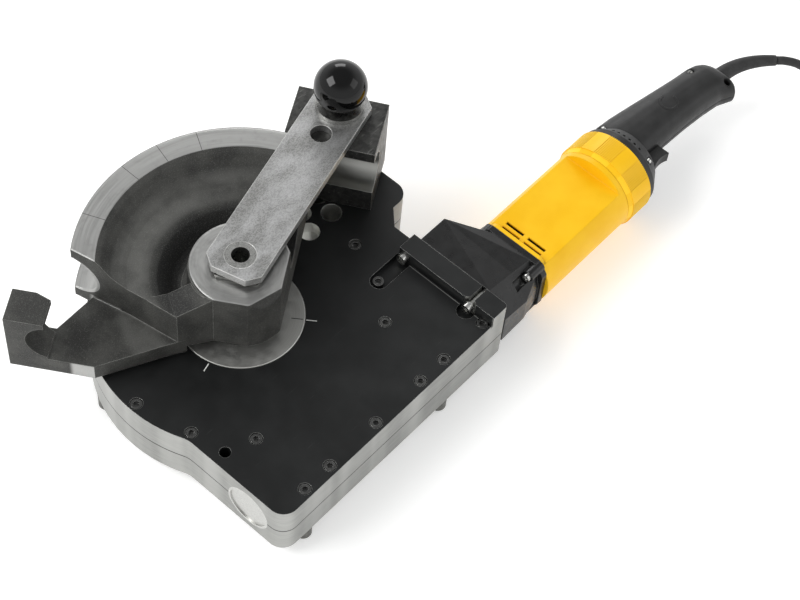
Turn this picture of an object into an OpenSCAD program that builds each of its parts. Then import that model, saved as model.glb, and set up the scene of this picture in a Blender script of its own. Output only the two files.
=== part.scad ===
// Electric pipe bender: a flat gear housing on feet, a turning bending former, a slide block under a
// support bar with a plug bolt, and a motor with handle and mains lead on one side.
// Millimetres. Pieces are drawn about the bending axis, with z = 0 at the housing's top face, and
// on_bench() then sets the whole machine on the bench, centred.

/* [Bending] */
// Outside diameter of the pipe that the groove takes
pipe_d = 42.4; // [40:0.1:43.4]
// Bending radius at the pipe's centre line
bend_r = 140; // [137:0.5:143]
// Height of the pipe's centre above the housing's top face
pipe_z = 47.5; // [46.5:0.5:50]
// Metal of the former above and below the pipe
rim_wall = 11.6; // [9.5:0.1:12.5]
// Width of the machined band on the former's top
rim_band = 21; // [16:0.5:24]
// Bend angle at which the former stands
bend_angle = 93; // [88:1:98]
// Direction of the slide block from the bending axis
slide_dir = 29.4; // [28:0.2:31]
// Direction of the support bar from the bending axis
bar_dir = 15.6; // [14.6:0.1:16.4]
// Distance of the plug bolt behind the pipe's centre line
bolt_back = 41; // [39:0.5:44]

/* [Housing] */
// Distance of the long side from the bending axis
side_y = 165.7; // [164:0.1:172]
// Distance of the short left side from the bending axis
side_x = 120.3; // [118:0.1:124]
// Distance of the motor end from the bending axis
end_x = 162; // [160:0.5:166]
// Radius of the round end over the worm wheel
round_r = 132.5; // [131:0.5:136]
// Thickness of the upper half
upper_h = 30; // [29:0.2:33]
// Thickness of the lower half
lower_h = 29.2; // [28.4:0.2:33]
// Radius of the housing's corners
corner_r = 15; // [10:0.5:18]
// Distance of the slide lobe's end from the bending axis
lobe_x = 200; // [197:0.5:206]
// Height of the raised end block
raised_h = 10.7; // [10:0.1:14]
// Height of the feet
foot_h = 16; // [12:0.5:20]
// Diameter of the feet
foot_d = 15.5; // [13:0.5:16]
// Thread diameter of the housing screws
screw_d = 6; // [5:0.5:6.5]
// Radius of the circle of screws round the worm wheel
screw_ring_r = 125; // [124:0.5:126]

/* [Drive] */
// Module of the worm and its wheel
worm_m = 4; // [3.9:0.02:4.04]
// Teeth of the worm wheel
wheel_teeth = 53; // [51:1:53]
// Width of the worm wheel
wheel_w = 16; // [12:0.5:17]
// Distance between worm and wheel axes
motor_y = 124.6; // [124.2:0.1:125.6]
// Module of the small gears
gear_m = 1; // [0.9:0.02:1.04]
// Teeth of the small pinions
pinion_teeth = 12; // [11:1:12]
// Side of the driving square
square_w = 38; // [34:0.5:38.5]
// Diameter of the disc round the driving square
disc_d = 111.6; // [104:0.2:114]
// Diameter of the stub that carries the support bar
stub_d = 27; // [24:0.5:29]
// Diameter of the hole in the stub
stub_hole_d = 16; // [12:0.5:17]

/* [Motor and handle] */
// Radius of the motor housing
motor_r = 41.5; // [41:0.1:42.5]
// Height of the motor housing's flats from its axis
motor_flat = 27; // [25:0.5:29]
// Length of the motor housing in front of the ring
motor_l = 117; // [112:0.5:124]
// Length of the gear neck
neck_l = 61; // [60:0.5:64]
// Radius of the direction ring
ring_r = 44; // [43.5:0.1:45]
// Length of the direction ring
ring_l = 31; // [29:0.5:34]
// Length of the rear cap
cap_l = 21; // [18:0.5:23]
// Length of the handle
handle_l = 140; // [134:0.5:146]
// Wall of the handle shells
handle_wall = 3; // [2.4:0.1:3.4]
// Thickness of the trigger
trigger_w = 12; // [9:0.5:16]
// Travel of the trigger
trigger_travel = 6; // [4:0.5:6.5]
// Length of the strain relief
boot_l = 60; // [52:1:60]

/* [Support and bolt] */
// Width of the support bar
bar_w = 52; // [48:0.5:54]
// Thickness of the support bar
bar_h = 8; // [7:0.2:9]
// Length of the slide block along the pipe
slide_l = 82; // [76:0.5:84]
// Depth of the slide block behind the pipe's centre
slide_back = 55; // [52:0.5:58]
// Diameter of the plug bolt
bolt_d = 18; // [16:0.5:18.4]
// Diameter of the free bolt holes
hole_d = 19; // [18:0.1:19.6]
// Diameter of the ball knob
ball_d = 47.4; // [44:0.2:52]

/* [Lead] */
// Diameter of the mains lead
cord_d = 8.5; // [7.6:0.1:8.6]

/* [Hidden] */
$fn = 64;

// One overrun for every cut, and the clearances
cut = 1;
face_gap = 0.3;
run_gap = 0.05;
slip_gap = 0.2;
seat_gap = 0.02;

// Heights about the top face
pipe_r = pipe_d / 2;
groove_gap = 0.4;
groove_r = pipe_r + groove_gap;
former_top = pipe_z + pipe_r + rim_wall;
former_low = pipe_z - pipe_r - rim_wall;
rim_over = 1.2;
rim_r = bend_r + rim_over;
rim_in = rim_r - rim_band;
base_h = upper_h + lower_h;
stand_h = base_h + foot_h;
axis_z = -upper_h;
former_turn = slide_dir + bend_angle - 90;
bolt_reach = bend_r + bolt_back;

// Hook of the former, in the former's own frame: the hook's straight runs along x
hook_x0 = -92;
hook_w = 31;
hook_out = 38;
hook_in = 4.5;
hook_drop = 6.3;
hook_top = former_top - hook_drop;
hook_low = 6.5;
hook_chamfer = 5;
hook_chamfer_l = 13;
arm_low = 6.5;
arm_drop = 2.4;
arm_top = pipe_z - pipe_r - arm_drop;

// Middle of the whole machine, from the sizes that reach furthest
motor_front = end_x + neck_l;
ring_x = motor_front + motor_l;
cap_x = ring_x + ring_l;
handle_x = cap_x + cap_l;
handle_end = handle_x + handle_l;
hook_y1 = bend_r + hook_out;
reach_low_x = hook_x0 * cos(former_turn) - hook_y1 * sin(former_turn);
reach_high_x = handle_end + boot_l;
reach_low_y = -motor_y - ring_r;
reach_high_y = rim_r;
mid_x = (reach_low_x + reach_high_x) / 2;
mid_y = (reach_low_y + reach_high_y) / 2;

module on_bench() {
    translate([-mid_x, -mid_y, stand_h]) children();
}

// The motor and worm axis: x runs towards the handle
module on_motor_axis() {
    translate([0, -motor_y, axis_z]) children();
}

module along_x(x0, length, radius) {
    translate([x0, 0, 0]) rotate([0, 90, 0]) cylinder(r = radius, h = length);
}

module tube_x(x0, length, radius, bore) {
    difference() {
        along_x(x0, length, radius);
        along_x(x0 - cut, length + 2 * cut, bore);
    }
}

module tube_z(z0, height, radius, bore) {
    difference() {
        translate([0, 0, z0]) cylinder(r = radius, h = height);
        translate([0, 0, z0 - cut]) cylinder(r = bore, h = height + 2 * cut);
    }
}

// Rectangle with all four corners rounded, lowest corner at the origin
module rounded_plan(width, depth, radius) {
    union() {
        translate([radius, 0]) square([width - 2 * radius, depth]);
        translate([0, radius]) square([width, depth - 2 * radius]);
        for (x = [radius, width - radius], y = [radius, depth - radius])
            translate([x, y]) circle(r = radius);
    }
}

// A skin over rings of equal point counts: closed at both ends
function skin_sides(rings, n) = [
    for (k = [0:rings - 2], i = [0:n - 1]) let (j = (i + 1) % n)
        each [[k * n + i, (k + 1) * n + i, (k + 1) * n + j],
              [k * n + i, (k + 1) * n + j, k * n + j]]];
function skin_ends(rings, n) = [
    [for (i = [0:n - 1]) i],
    [for (i = [n - 1:-1:0]) (rings - 1) * n + i]];

module skin(rings) {
    n = len(rings[0]);
    polyhedron(points = [for (r = rings) each r],
               faces = concat(skin_sides(len(rings), n), skin_ends(len(rings), n)));
}

// A round tube swept along points, with one radius for each point
function unit(v) = v / norm(v);
function path_dir(p, i) = unit(p[min(i + 1, len(p) - 1)] - p[max(i - 1, 0)]);
function path_ring(p, i, r, n) =
    let (t = path_dir(p, i), s = unit(cross(t, [0, 0, 1])), u = cross(t, s))
    [for (k = [0:n - 1]) p[i] + r * cos(360 * k / n) * s + r * sin(360 * k / n) * u];

module swept_tube(path, radii, sides) {
    skin([for (i = [0:len(path) - 1]) path_ring(path, i, radii[i], sides)]);
}

// Points on a smooth curve through a route, several to each stretch
function bow(a, b, c, d, t) =
    0.5 * (2 * b + (c - a) * t + (2 * a - 5 * b + 4 * c - d) * t * t
           + (3 * b - a - 3 * c + d) * t * t * t);
function smooth(p, steps) = [
    for (i = [0:len(p) - 2], k = [0:steps - 1])
        bow(p[max(i - 1, 0)], p[i], p[i + 1], p[min(i + 2, len(p) - 1)], k / steps),
    p[len(p) - 1]];

// Spur gear outline with straight-flanked teeth; the first tooth points along x
gear_add_share = 0.85;
gear_ded_share = 1.15;
gear_tip_share = 0.6;
gear_root_share = 1.7;
function tooth_points(teeth, r_root, r_tip, w_root, w_tip) = [
    for (k = [0:teeth - 1]) let (a = 360 * k / teeth)
        each [[r_root * cos(a) + w_root / 2 * sin(a), r_root * sin(a) - w_root / 2 * cos(a)],
              [r_tip * cos(a) + w_tip / 2 * sin(a), r_tip * sin(a) - w_tip / 2 * cos(a)],
              [r_tip * cos(a) - w_tip / 2 * sin(a), r_tip * sin(a) + w_tip / 2 * cos(a)],
              [r_root * cos(a) - w_root / 2 * sin(a), r_root * sin(a) + w_root / 2 * cos(a)]]];

module small_gear(teeth, x0, width, bore, turn) {
    r = gear_m * teeth / 2;
    translate([x0, 0, 0]) rotate([0, 90, 0]) rotate(90 + turn) difference() {
        linear_extrude(width)
            polygon(tooth_points(teeth, r - gear_ded_share * gear_m, r + gear_add_share * gear_m,
                                 gear_root_share * gear_m, gear_tip_share * gear_m));
        translate([0, 0, -cut]) cylinder(r = bore, h = width + 2 * cut);
    }
}

// Socket-head screw: the shank runs down from z = 0, the head stands on it
head_d_share = 1.65;
socket_share = 0.86;
module cap_screw(d, shank_l, head_h) {
    difference() {
        union() {
            translate([0, 0, -shank_l]) cylinder(r = d / 2, h = shank_l);
            cylinder(r = d * head_d_share / 2, h = head_h);
        }
        translate([0, 0, head_h / 2])
            cylinder(r = d * socket_share / 2 / cos(30), h = head_h, $fn = 6);
    }
}

// Housing

lobe_y0 = 19;
lobe_y1 = 95;
lobe_corner_r = 22;
end_corner_r = 4;
throat_r = 25;
raised_w = 19.5;
raised_y0 = 56.5;
raised_foot_w = 2.6;
raised_foot_h = 3;
screw_angles = [55, 80, 105, 130, 155, 180, 205, 230, 310, 330, 350];
row_inset = 8.2;
row_shares = [-0.62, -0.405, 0, 0.405, 0.62, 0.985];
row_scale = 140.3;
lobe_screw_x = 0.3;
lobe_screw_y = 3;
lobe_inset = 16;
head_h = 6;
head_deep = 6.4;
head_room = 0.75;
screw_reach = 15;
screw_places = concat(
    [for (a = screw_angles) [screw_ring_r * cos(a), screw_ring_r * sin(a)]],
    [for (s = row_shares) [s * row_scale, -(side_y - row_inset)]],
    [[end_x - lobe_screw_x, lobe_screw_y], [lobe_x - lobe_inset, lobe_y1 - lobe_inset]]);

// Free bolt holes, as distance and direction from the bending axis: two blind, two deep
spare_x = 145.5;
blind_holes = [[106.3, 9.2], [120.2, 17.7]];
deep_holes = [[135.1, 7.3], [spare_x, bar_dir]];
blind_deep = 13;
bolt_deep = 42;
filler_x = 107.4;
filler_y = 86.3;
filler_d = 10.2;
filler_deep = 20;

pocket_r = 8.2;
pocket_deep = 6;
pocket_one_y = 63.2;
pocket_one_x = 108.5;
pocket_two_y = 138.6;
pocket_two_x = 137.5;
cleft_w = 5;

wheel_r = worm_m * wheel_teeth / 2;
worm_r = motor_y - wheel_r;
worm_add = 0.8 * worm_m;
worm_ded = 0.95 * worm_m;
worm_lead = PI * worm_m;
room_gap = 3;
wheel_room_r = wheel_r + worm_add + room_gap;
wheel_room_h = wheel_w / 2 + room_gap;
worm_room_r = worm_r + worm_add + room_gap / 2;
plug_r = 22.3;
plug_h = 5;
worm_seat_r = 21;
worm_seat_l = 14;
worm_journal_r = 10;
worm_seat_two = 140;
worm_exit_r = 12;
disc_deep = 4.2;
disc_rise = 0.8;
disc_r = disc_d / 2;
top_bearing_r = 42;
top_bearing_h = 10;
journal_r = 32;
low_bearing_r = 31;
low_bearing_h = 10;
low_journal_r = 17.5;

// Edge of a re-entrant round of radius r between the wheel's round end and a level or upright side
function throat(r, side) = sqrt((round_r + r) * (round_r + r) - (side + r) * (side + r));

module housing_plan() {
    left_x = -side_x - throat_r;
    left_y = -throat(throat_r, side_x);
    top_x = throat(corner_r, lobe_y1);
    top_y = lobe_y1 + corner_r;
    share_left = round_r / (round_r + throat_r);
    share_top = round_r / (round_r + corner_r);
    difference() {
        union() {
            circle(r = round_r);
            polygon([[-side_x + corner_r, -side_y], [end_x - end_corner_r, -side_y],
                     [end_x, -side_y + end_corner_r], [end_x, -lobe_y0 - corner_r],
                     [end_x + corner_r, -lobe_y0], [lobe_x - corner_r, -lobe_y0],
                     [lobe_x, -lobe_y0 + corner_r], [lobe_x, lobe_y1 - lobe_corner_r],
                     [lobe_x - lobe_corner_r, lobe_y1], [top_x, lobe_y1],
                     [top_x * share_top, top_y * share_top], [0, 0],
                     [left_x * share_left, left_y * share_left], [-side_x, left_y],
                     [-side_x, -side_y + corner_r]]);
            translate([-side_x + corner_r, -side_y + corner_r]) circle(r = corner_r);
            translate([end_x - end_corner_r, -side_y + end_corner_r]) circle(r = end_corner_r);
            translate([lobe_x - corner_r, -lobe_y0 + corner_r]) circle(r = corner_r);
            translate([lobe_x - lobe_corner_r, lobe_y1 - lobe_corner_r]) circle(r = lobe_corner_r);
        }
        translate([left_x, left_y]) circle(r = throat_r);
        translate([top_x, top_y]) circle(r = corner_r);
    }
    difference() {
        translate([end_x - corner_r, -lobe_y0 - corner_r]) square(2 * corner_r);
        translate([end_x + corner_r, -lobe_y0 - corner_r]) circle(r = corner_r);
    }
}

module wheel_room() {
    translate([0, 0, axis_z - wheel_room_h]) cylinder(r = wheel_room_r, h = 2 * wheel_room_h);
}

module worm_room() {
    plug_in = -side_x + plug_h;
    room_x = plug_in + worm_seat_l;
    on_motor_axis() {
        along_x(-side_x - cut, plug_h + cut, plug_r);
        along_x(plug_in - cut, worm_seat_l + cut, worm_seat_r);
        along_x(room_x, worm_seat_two - room_x, worm_room_r);
        along_x(worm_seat_two - cut, worm_seat_l + cut, worm_seat_r);
        along_x(worm_seat_two, end_x - worm_seat_two + cut, worm_exit_r);
    }
    on_counter_axis() along_x(end_x - counter_seat_l, counter_seat_l + cut, counter_seat_r);
}

module screw_holes(z0, height, d) {
    for (p = screw_places) translate([p[0], p[1], z0]) cylinder(r = d / 2, h = height);
}

module bolt_hole(reach, angle, deep, radius) {
    translate([reach * cos(angle), reach * sin(angle), -deep]) cylinder(r = radius, h = deep + cut);
}

module deep_bolt_holes() {
    for (h = deep_holes) bolt_hole(h[0], h[1], bolt_deep, hole_d / 2);
    bolt_hole(bolt_reach, bar_dir, bolt_deep, bolt_d / 2 + slip_gap);
}

module upper_housing() {
    bearing_room = disc_deep + slip_gap;
    color([0.2, 0.21, 0.2]) on_bench() difference() {
        union() {
            translate([0, 0, -upper_h]) linear_extrude(upper_h) housing_plan();
            translate([0, 0, -cut]) linear_extrude(raised_h + cut) intersection() {
                housing_plan();
                translate([end_x - raised_w, -side_y - cut])
                    square([raised_w + cut, side_y - raised_y0 + cut]);
            }
        }
        wheel_room();
        worm_room();
        deep_bolt_holes();
        translate([0, 0, -bearing_room]) cylinder(r = disc_r + face_gap, h = bearing_room + cut);
        translate([0, 0, -upper_h - cut])
            cylinder(r = top_bearing_r + seat_gap, h = upper_h + cut - disc_deep);
        for (p = screw_places) translate([p[0], p[1], -head_deep])
            cylinder(r = screw_d * head_d_share / 2 + head_room, h = head_deep + cut);
        screw_holes(-upper_h - cut, upper_h + cut, screw_d + 2 * slip_gap);
        for (h = blind_holes) bolt_hole(h[0], h[1], blind_deep, hole_d / 2);
        translate([-filler_x, -filler_y, -filler_deep])
            cylinder(r = filler_d / 2, h = filler_deep + cut);
        end_pockets();
    }
}

// Two pockets in which the flange screws lie, with the groove at the raised block's foot
module end_pockets() {
    raised_x = end_x - raised_w;
    for (p = [[pocket_one_x, pocket_one_y], [pocket_two_x, pocket_two_y]]) {
        translate([p[0], -p[1], -pocket_deep]) cylinder(r = pocket_r, h = pocket_deep + raised_h);
        translate([p[0], -p[1] - pocket_r, -pocket_deep])
            cube([raised_x - p[0], 2 * pocket_r, pocket_deep + raised_h]);
        translate([raised_x - cut, -p[1], flange_screw_z]) rotate([0, 90, 0])
            cylinder(r = screw_d / 2 + slip_gap, h = raised_w + 2 * cut);
    }
    translate([raised_x - raised_foot_w, -side_y - cut, -raised_foot_h])
        cube([raised_foot_w, side_y - raised_y0 + cut, raised_foot_h + cut]);
    translate([raised_x - cut, -pocket_two_y - cleft_w / 2, flange_screw_z])
        cube([raised_w + 2 * cut, cleft_w, raised_h]);
}

flange_screw_z = 3;

module lower_housing() {
    low_seat = axis_z - wheel_room_h - low_bearing_h;
    color([0.68, 0.68, 0.66]) on_bench() difference() {
        translate([0, 0, -base_h]) linear_extrude(lower_h - slip_gap / 2) housing_plan();
        wheel_room();
        worm_room();
        deep_bolt_holes();
        translate([0, 0, low_seat]) cylinder(r = low_bearing_r + seat_gap, h = lower_h);
        screw_holes(axis_z - screw_reach - cut, lower_h, screw_d + 2 * seat_gap);
        for (p = foot_places) translate([p[0], p[1], -base_h - cut])
            cylinder(r = screw_d / 2 + seat_gap, h = foot_stud_l + 2 * cut);
    }
}

foot_stud_l = 9;
foot_places = [[row_shares[4] * row_scale, -(side_y - row_inset)],
               [row_shares[0] * row_scale, -(side_y - row_inset)],
               [screw_ring_r * cos(155), screw_ring_r * sin(155)],
               [lobe_x - lobe_inset, lobe_y1 - lobe_inset]];
foot_lip = 1.5;

module feet() {
    color([0.36, 0.36, 0.34]) on_bench() for (p = foot_places) translate([p[0], p[1], -stand_h]) {
        cylinder(r1 = foot_d / 2 - foot_lip, r2 = foot_d / 2, h = foot_lip);
        translate([0, 0, foot_lip]) cylinder(r = foot_d / 2, h = foot_h - foot_lip);
        translate([0, 0, foot_h - cut]) cylinder(r = screw_d / 2, h = foot_stud_l + cut);
    }
}

module housing_screws() {
    color([0.16, 0.16, 0.16]) on_bench() for (p = screw_places)
        translate([p[0], p[1], -head_deep])
            cap_screw(screw_d, upper_h - head_deep + screw_reach, head_h);
}

module bearing_plug() {
    plug_dish = 1.2;
    plug_rim = 2;
    color([0.72, 0.72, 0.7]) on_bench() on_motor_axis() difference() {
        along_x(-side_x, plug_h - slip_gap, plug_r - seat_gap);
        along_x(-side_x - cut, plug_dish + cut, plug_r - plug_rim);
    }
}

// Driver and worm gear

square_corner = 3;
square_drop = 0.9;
square_top = former_top - square_drop;
stub_top = former_top + bar_h + slip_gap;
stub_deep = 40;
spindle_low = axis_z - wheel_room_h - low_bearing_h + slip_gap;
key_w = 8;
key_l = 12;
key_h = 6;

module driver_spindle() {
    hub_low = axis_z - wheel_w / 2;
    color([0.62, 0.62, 0.62]) on_bench() difference() {
        union() {
            rotate(former_turn) translate([-square_w / 2, -square_w / 2, 0])
                linear_extrude(square_top) rounded_plan(square_w, square_w, square_corner);
            cylinder(r = stub_d / 2 - run_gap, h = stub_top);
            translate([0, 0, hub_low]) cylinder(r = journal_r, h = -hub_low + disc_rise);
            translate([0, 0, spindle_low])
                cylinder(r = low_journal_r, h = hub_low - spindle_low + cut);
        }
        translate([0, 0, stub_top - stub_deep]) cylinder(r = stub_hole_d / 2, h = stub_deep + cut);
        key_slot();
    }
}

module key_slot() {
    translate([journal_r - key_h / 2, -key_w / 2, axis_z - key_l / 2]) cube([key_h, key_w, key_l]);
}

module wheel_key() {
    color([0.5, 0.5, 0.5]) on_bench()
        translate([journal_r - key_h / 2 + seat_gap, -key_w / 2 + seat_gap,
                   axis_z - key_l / 2 + seat_gap])
            cube([key_h - 2 * seat_gap, key_w - 2 * seat_gap, key_l - 2 * seat_gap]);
}

module driver_disc() {
    disc_edge = 0.5;
    color([0.72, 0.72, 0.7]) on_bench() difference() {
        union() {
            translate([0, 0, -disc_deep]) cylinder(r = disc_r, h = disc_deep + disc_rise - disc_edge);
            translate([0, 0, disc_rise - disc_edge])
                cylinder(r1 = disc_r, r2 = disc_r - disc_edge, h = disc_edge);
        }
        translate([0, 0, -disc_deep - cut])
            cylinder(r = journal_r + seat_gap, h = disc_deep + disc_rise + 2 * cut);
    }
}

module spindle_bearing_top() {
    top_z = -disc_deep - slip_gap - seat_gap;
    color([0.6, 0.6, 0.6]) on_bench()
        tube_z(top_z - top_bearing_h, top_bearing_h, top_bearing_r, journal_r + run_gap);
}

module spindle_bearing_low() {
    color([0.6, 0.6, 0.6]) on_bench()
        tube_z(axis_z - wheel_room_h - low_bearing_h, low_bearing_h - slip_gap, low_bearing_r,
               low_journal_r + run_gap);
}

// Straight-flanked wheel teeth, a little thin so that the thread's slant clears them
tooth_thin = 1.1;
flank_slope = tan(20);
wheel_tooth_w = worm_lead / 2 - tooth_thin;
thread_w = worm_lead / 2 - tooth_thin;
wheel_hub_r = 46;
wheel_web_h = 9;
wheel_rim_w = 12;

module worm_wheel() {
    tooth_turn = -90 + 180 / wheel_teeth;
    color([0.72, 0.55, 0.28]) on_bench() difference() {
        translate([0, 0, axis_z - wheel_w / 2]) rotate(tooth_turn) linear_extrude(wheel_w)
            polygon(tooth_points(wheel_teeth, wheel_r - worm_ded, wheel_r + worm_add,
                                 wheel_tooth_w + 2 * worm_ded * flank_slope,
                                 wheel_tooth_w - 2 * worm_add * flank_slope));
        translate([0, 0, axis_z - wheel_w / 2 - cut])
            cylinder(r = journal_r + seat_gap, h = wheel_w + 2 * cut);
        for (z0 = [axis_z + wheel_web_h / 2, axis_z - wheel_w / 2 - cut])
            tube_z(z0, (wheel_w - wheel_web_h) / 2 + cut, wheel_r - worm_ded - wheel_rim_w,
                   wheel_hub_r);
        key_slot();
    }
}

// Screw thread on the worm: one start, right-handed, four corners to each ring
thread_steps = 20;
worm_thread_l = 60;
worm_core_r = worm_r - worm_ded;
thread_sink = 0.5;
function thread_ring(a, lead) =
    let (x = lead * a / 360, r0 = worm_core_r - thread_sink, r1 = worm_r + worm_add,
         w0 = thread_w / 2 + (worm_r - r0) * flank_slope, w1 = thread_w / 2 - worm_add * flank_slope)
    [for (c = [[w0, r0], [w1, r1], [-w1, r1], [-w0, r0]])
        [x + c[0], c[1] * cos(a), c[1] * sin(a)]];

clutch_start = 10;
clutch_x = end_x + clutch_start;
clutch_l = 8;
clutch_teeth = 3 * pinion_teeth;
clutch_collar_r = 15.5;
clutch_collar_l = 6;
spring_l = 4;
spring_r = 15;
nut_r = 15;
nut_l = 7;
shaft_over = 3;

module worm_shaft() {
    turn = 180 * worm_thread_l / worm_lead;
    steps = ceil(turn / 180 * thread_steps);
    shaft_x0 = -side_x + plug_h + slip_gap;
    shaft_x1 = clutch_x + clutch_l + spring_l + nut_l + shaft_over;
    inner_x0 = shaft_x0 + worm_seat_l;
    core_l = worm_thread_l + 2 * worm_lead;
    color([0.6, 0.61, 0.62]) on_bench() on_motor_axis() {
        along_x(-core_l / 2, core_l, worm_core_r);
        skin([for (k = [-steps:steps]) thread_ring(turn * k / steps, worm_lead)]);
        along_x(inner_x0, worm_seat_two - inner_x0, worm_journal_r + room_gap / 2);
        along_x(shaft_x0, shaft_x1 - shaft_x0, worm_journal_r);
        along_x(clutch_x - face_gap - clutch_collar_l, clutch_collar_l, clutch_collar_r);
    }
}

module worm_bearings() {
    color([0.62, 0.62, 0.62]) on_bench() on_motor_axis()
        for (x0 = [-side_x + plug_h, worm_seat_two])
            tube_x(x0 + slip_gap / 2, worm_seat_l - slip_gap, worm_seat_r - seat_gap,
                   worm_journal_r + run_gap);
}

// Gear train in the neck: motor pinion, counter shaft, slipping gear on the worm shaft
gear_gap = gear_m * (pinion_teeth + clutch_teeth) / 2;
half_tooth = 180 / pinion_teeth;
gear_w = 9;
counter_x = clutch_x - gear_m;
counter_pinion_l = 12;
gear_two_start = 29;
gear_two_x = clutch_x + gear_two_start;
counter_r = 4;
counter_seat_r = 7.5;
counter_seat_l = 6;

module clutch_gear() {
    color([0.58, 0.58, 0.6]) on_bench() on_motor_axis()
        small_gear(clutch_teeth, clutch_x, clutch_l, worm_journal_r + run_gap, 0);
}

module clutch_spring() {
    color([0.5, 0.5, 0.52]) on_bench() on_motor_axis() difference() {
        translate([clutch_x + clutch_l + face_gap, 0, 0]) rotate([0, 90, 0])
            cylinder(r1 = spring_r, r2 = spring_r - spring_l, h = spring_l - face_gap);
        along_x(clutch_x, 2 * clutch_l + spring_l, worm_journal_r + seat_gap);
    }
}

module clutch_nut() {
    color([0.55, 0.55, 0.56]) on_bench() on_motor_axis() difference() {
        translate([clutch_x + clutch_l + spring_l, 0, 0]) rotate([0, 90, 0])
            cylinder(r = nut_r, h = nut_l, $fn = 6);
        along_x(clutch_x, 2 * clutch_l + spring_l + nut_l, worm_journal_r + seat_gap);
    }
}

module on_counter_axis() {
    on_motor_axis() translate([0, gear_gap, 0]) children();
}

module counter_shaft() {
    shaft_x0 = end_x - counter_seat_l + slip_gap;
    shaft_x1 = gear_two_x + gear_w + counter_seat_l;
    color([0.55, 0.55, 0.57]) on_bench() on_counter_axis() {
        small_gear(pinion_teeth, counter_x, counter_pinion_l, counter_r / 2, half_tooth);
        small_gear(clutch_teeth, gear_two_x, gear_w, counter_r / 2, 0);
        along_x(shaft_x0, shaft_x1 - shaft_x0, counter_r);
    }
}

module counter_bearings() {
    color([0.72, 0.55, 0.28]) on_bench() on_counter_axis()
        for (x0 = [end_x - counter_seat_l, gear_two_x + gear_w + face_gap])
            tube_x(x0, counter_seat_l - face_gap, counter_seat_r, counter_r + run_gap);
}

// Neck and motor

gear_room_gap = 1.2;
motor_bearing_r = 13;
motor_bearing_l = 8;
shaft_r = 5;
lug_r = 5.5;
lug_l = 17;
lug_side_share = 0.69;
lug_up_share = 0.64;
neck_screw_d = 4.5;
neck_screw_in = 3.8;
neck_head_h = 3.5;
flange_screw_in = 14;

// Neck sections about the motor axis, as [sideways, up] shares of the reaches to the far side and
// the top at the housing, and of the motor's radius at the other end
neck_far = 60.2;
neck_up = upper_h + raised_h;
neck_start_shares = [[1, 1], [-0.32, 1], [-0.67, 0.4], [-0.67, -0.4], [-0.3, -0.55], [0.72, -0.72],
                     [1, -0.4]];
neck_mid_shares = [[1, 0.995], [-0.32, 0.86], [-0.66, 0.28], [-0.66, -0.4], [-0.3, -0.56],
                   [0.72, -0.74], [1, -0.4]];
neck_end_shares = [[0.9, 0.3], [0.78, 0.55], [0.5, 0.78], [-0.5, 0.78], [-0.74, 0.5], [-0.84, 0.1],
                   [-0.84, -0.3], [-0.66, -0.66], [-0.3, -0.86], [0.4, -0.86], [0.74, -0.6],
                   [0.9, -0.2]];
neck_step = 31;
neck_rim_l = 6;
neck_rim_over = 1.2;
rim_top_share = 0.79;
rim_side_share = 0.9;
neck_section_l = 0.5;

module neck_section(x0, shares, side, up) {
    translate([x0, 0, 0]) rotate([90, 0, 90]) linear_extrude(neck_section_l)
        polygon([for (s = shares) [s[0] * side, s[1] * up]]);
}

module neck_body() {
    rim_x = motor_front - slip_gap - neck_rim_l;
    hull() {
        neck_section(end_x + slip_gap, neck_start_shares, neck_far, neck_up);
        neck_section(end_x + neck_step, neck_mid_shares, neck_far, neck_up);
    }
    hull() {
        neck_section(end_x + neck_step, neck_mid_shares, neck_far, neck_up);
        neck_section(rim_x, neck_end_shares, motor_r, motor_r);
    }
    translate([rim_x, 0, 0]) rotate([90, 0, 90]) linear_extrude(neck_rim_l) intersection() {
        circle(r = motor_r + neck_rim_over);
        rim_window();
    }
    for (s = [-1, 1], t = [-1, 1]) on_lug(s, t)
        along_x(motor_front - slip_gap - lug_l, lug_l, lug_r);
}

// The round rims of neck and motor are cut level on top and on the near side
module rim_window() {
    translate([-rim_side_share * motor_r, -2 * motor_r])
        square([3 * motor_r, (2 + rim_top_share) * motor_r]);
}

module on_lug(s, t) {
    translate([0, s * motor_r * lug_side_share, t * motor_r * lug_up_share]) children();
}

module gear_neck() {
    room_r = gear_m * (clutch_teeth / 2 + gear_add_share) + gear_room_gap;
    room_l = gear_two_x + gear_w - end_x;
    lug_x = motor_front - lug_l;
    color([0.16, 0.16, 0.16]) on_bench() difference() {
        on_motor_axis() neck_body();
        on_motor_axis() along_x(end_x - cut, room_l + cut, room_r);
        on_counter_axis() along_x(end_x - cut, room_l + cut, room_r);
        on_counter_axis() along_x(end_x, room_l + counter_seat_l + slip_gap, counter_seat_r + seat_gap);
        on_motor_axis() {
            along_x(motor_front - motor_bearing_l - slip_gap, motor_bearing_l + cut,
                    motor_bearing_r + seat_gap);
            along_x(end_x, neck_l + cut, shaft_r + room_gap);
            for (s = [-1, 1], t = [-1, 1]) on_lug(s, t)
                along_x(lug_x - cut, lug_l + 2 * cut, neck_screw_d / 2 + run_gap);
            for (s = [-1, 1], t = [-1, 1]) on_lug(s, t)
                along_x(lug_x - lug_l, lug_l, lug_r + slip_gap);
        }
        translate([end_x, -pocket_two_y, flange_screw_z]) rotate([0, 90, 0])
            cylinder(r = screw_d / 2 + run_gap, h = flange_screw_in + cut);
    }
}

// The far screw only clamps the raised block; the near one reaches into the neck
module flange_screws() {
    head_x = end_x - raised_w;
    color([0.6, 0.6, 0.6]) on_bench()
        for (p = [[pocket_one_y, raised_w - cut], [pocket_two_y, raised_w + flange_screw_in]])
            translate([head_x, -p[0], flange_screw_z]) rotate([0, -90, 0])
                cap_screw(screw_d, p[1], head_h - slip_gap);
}

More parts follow.
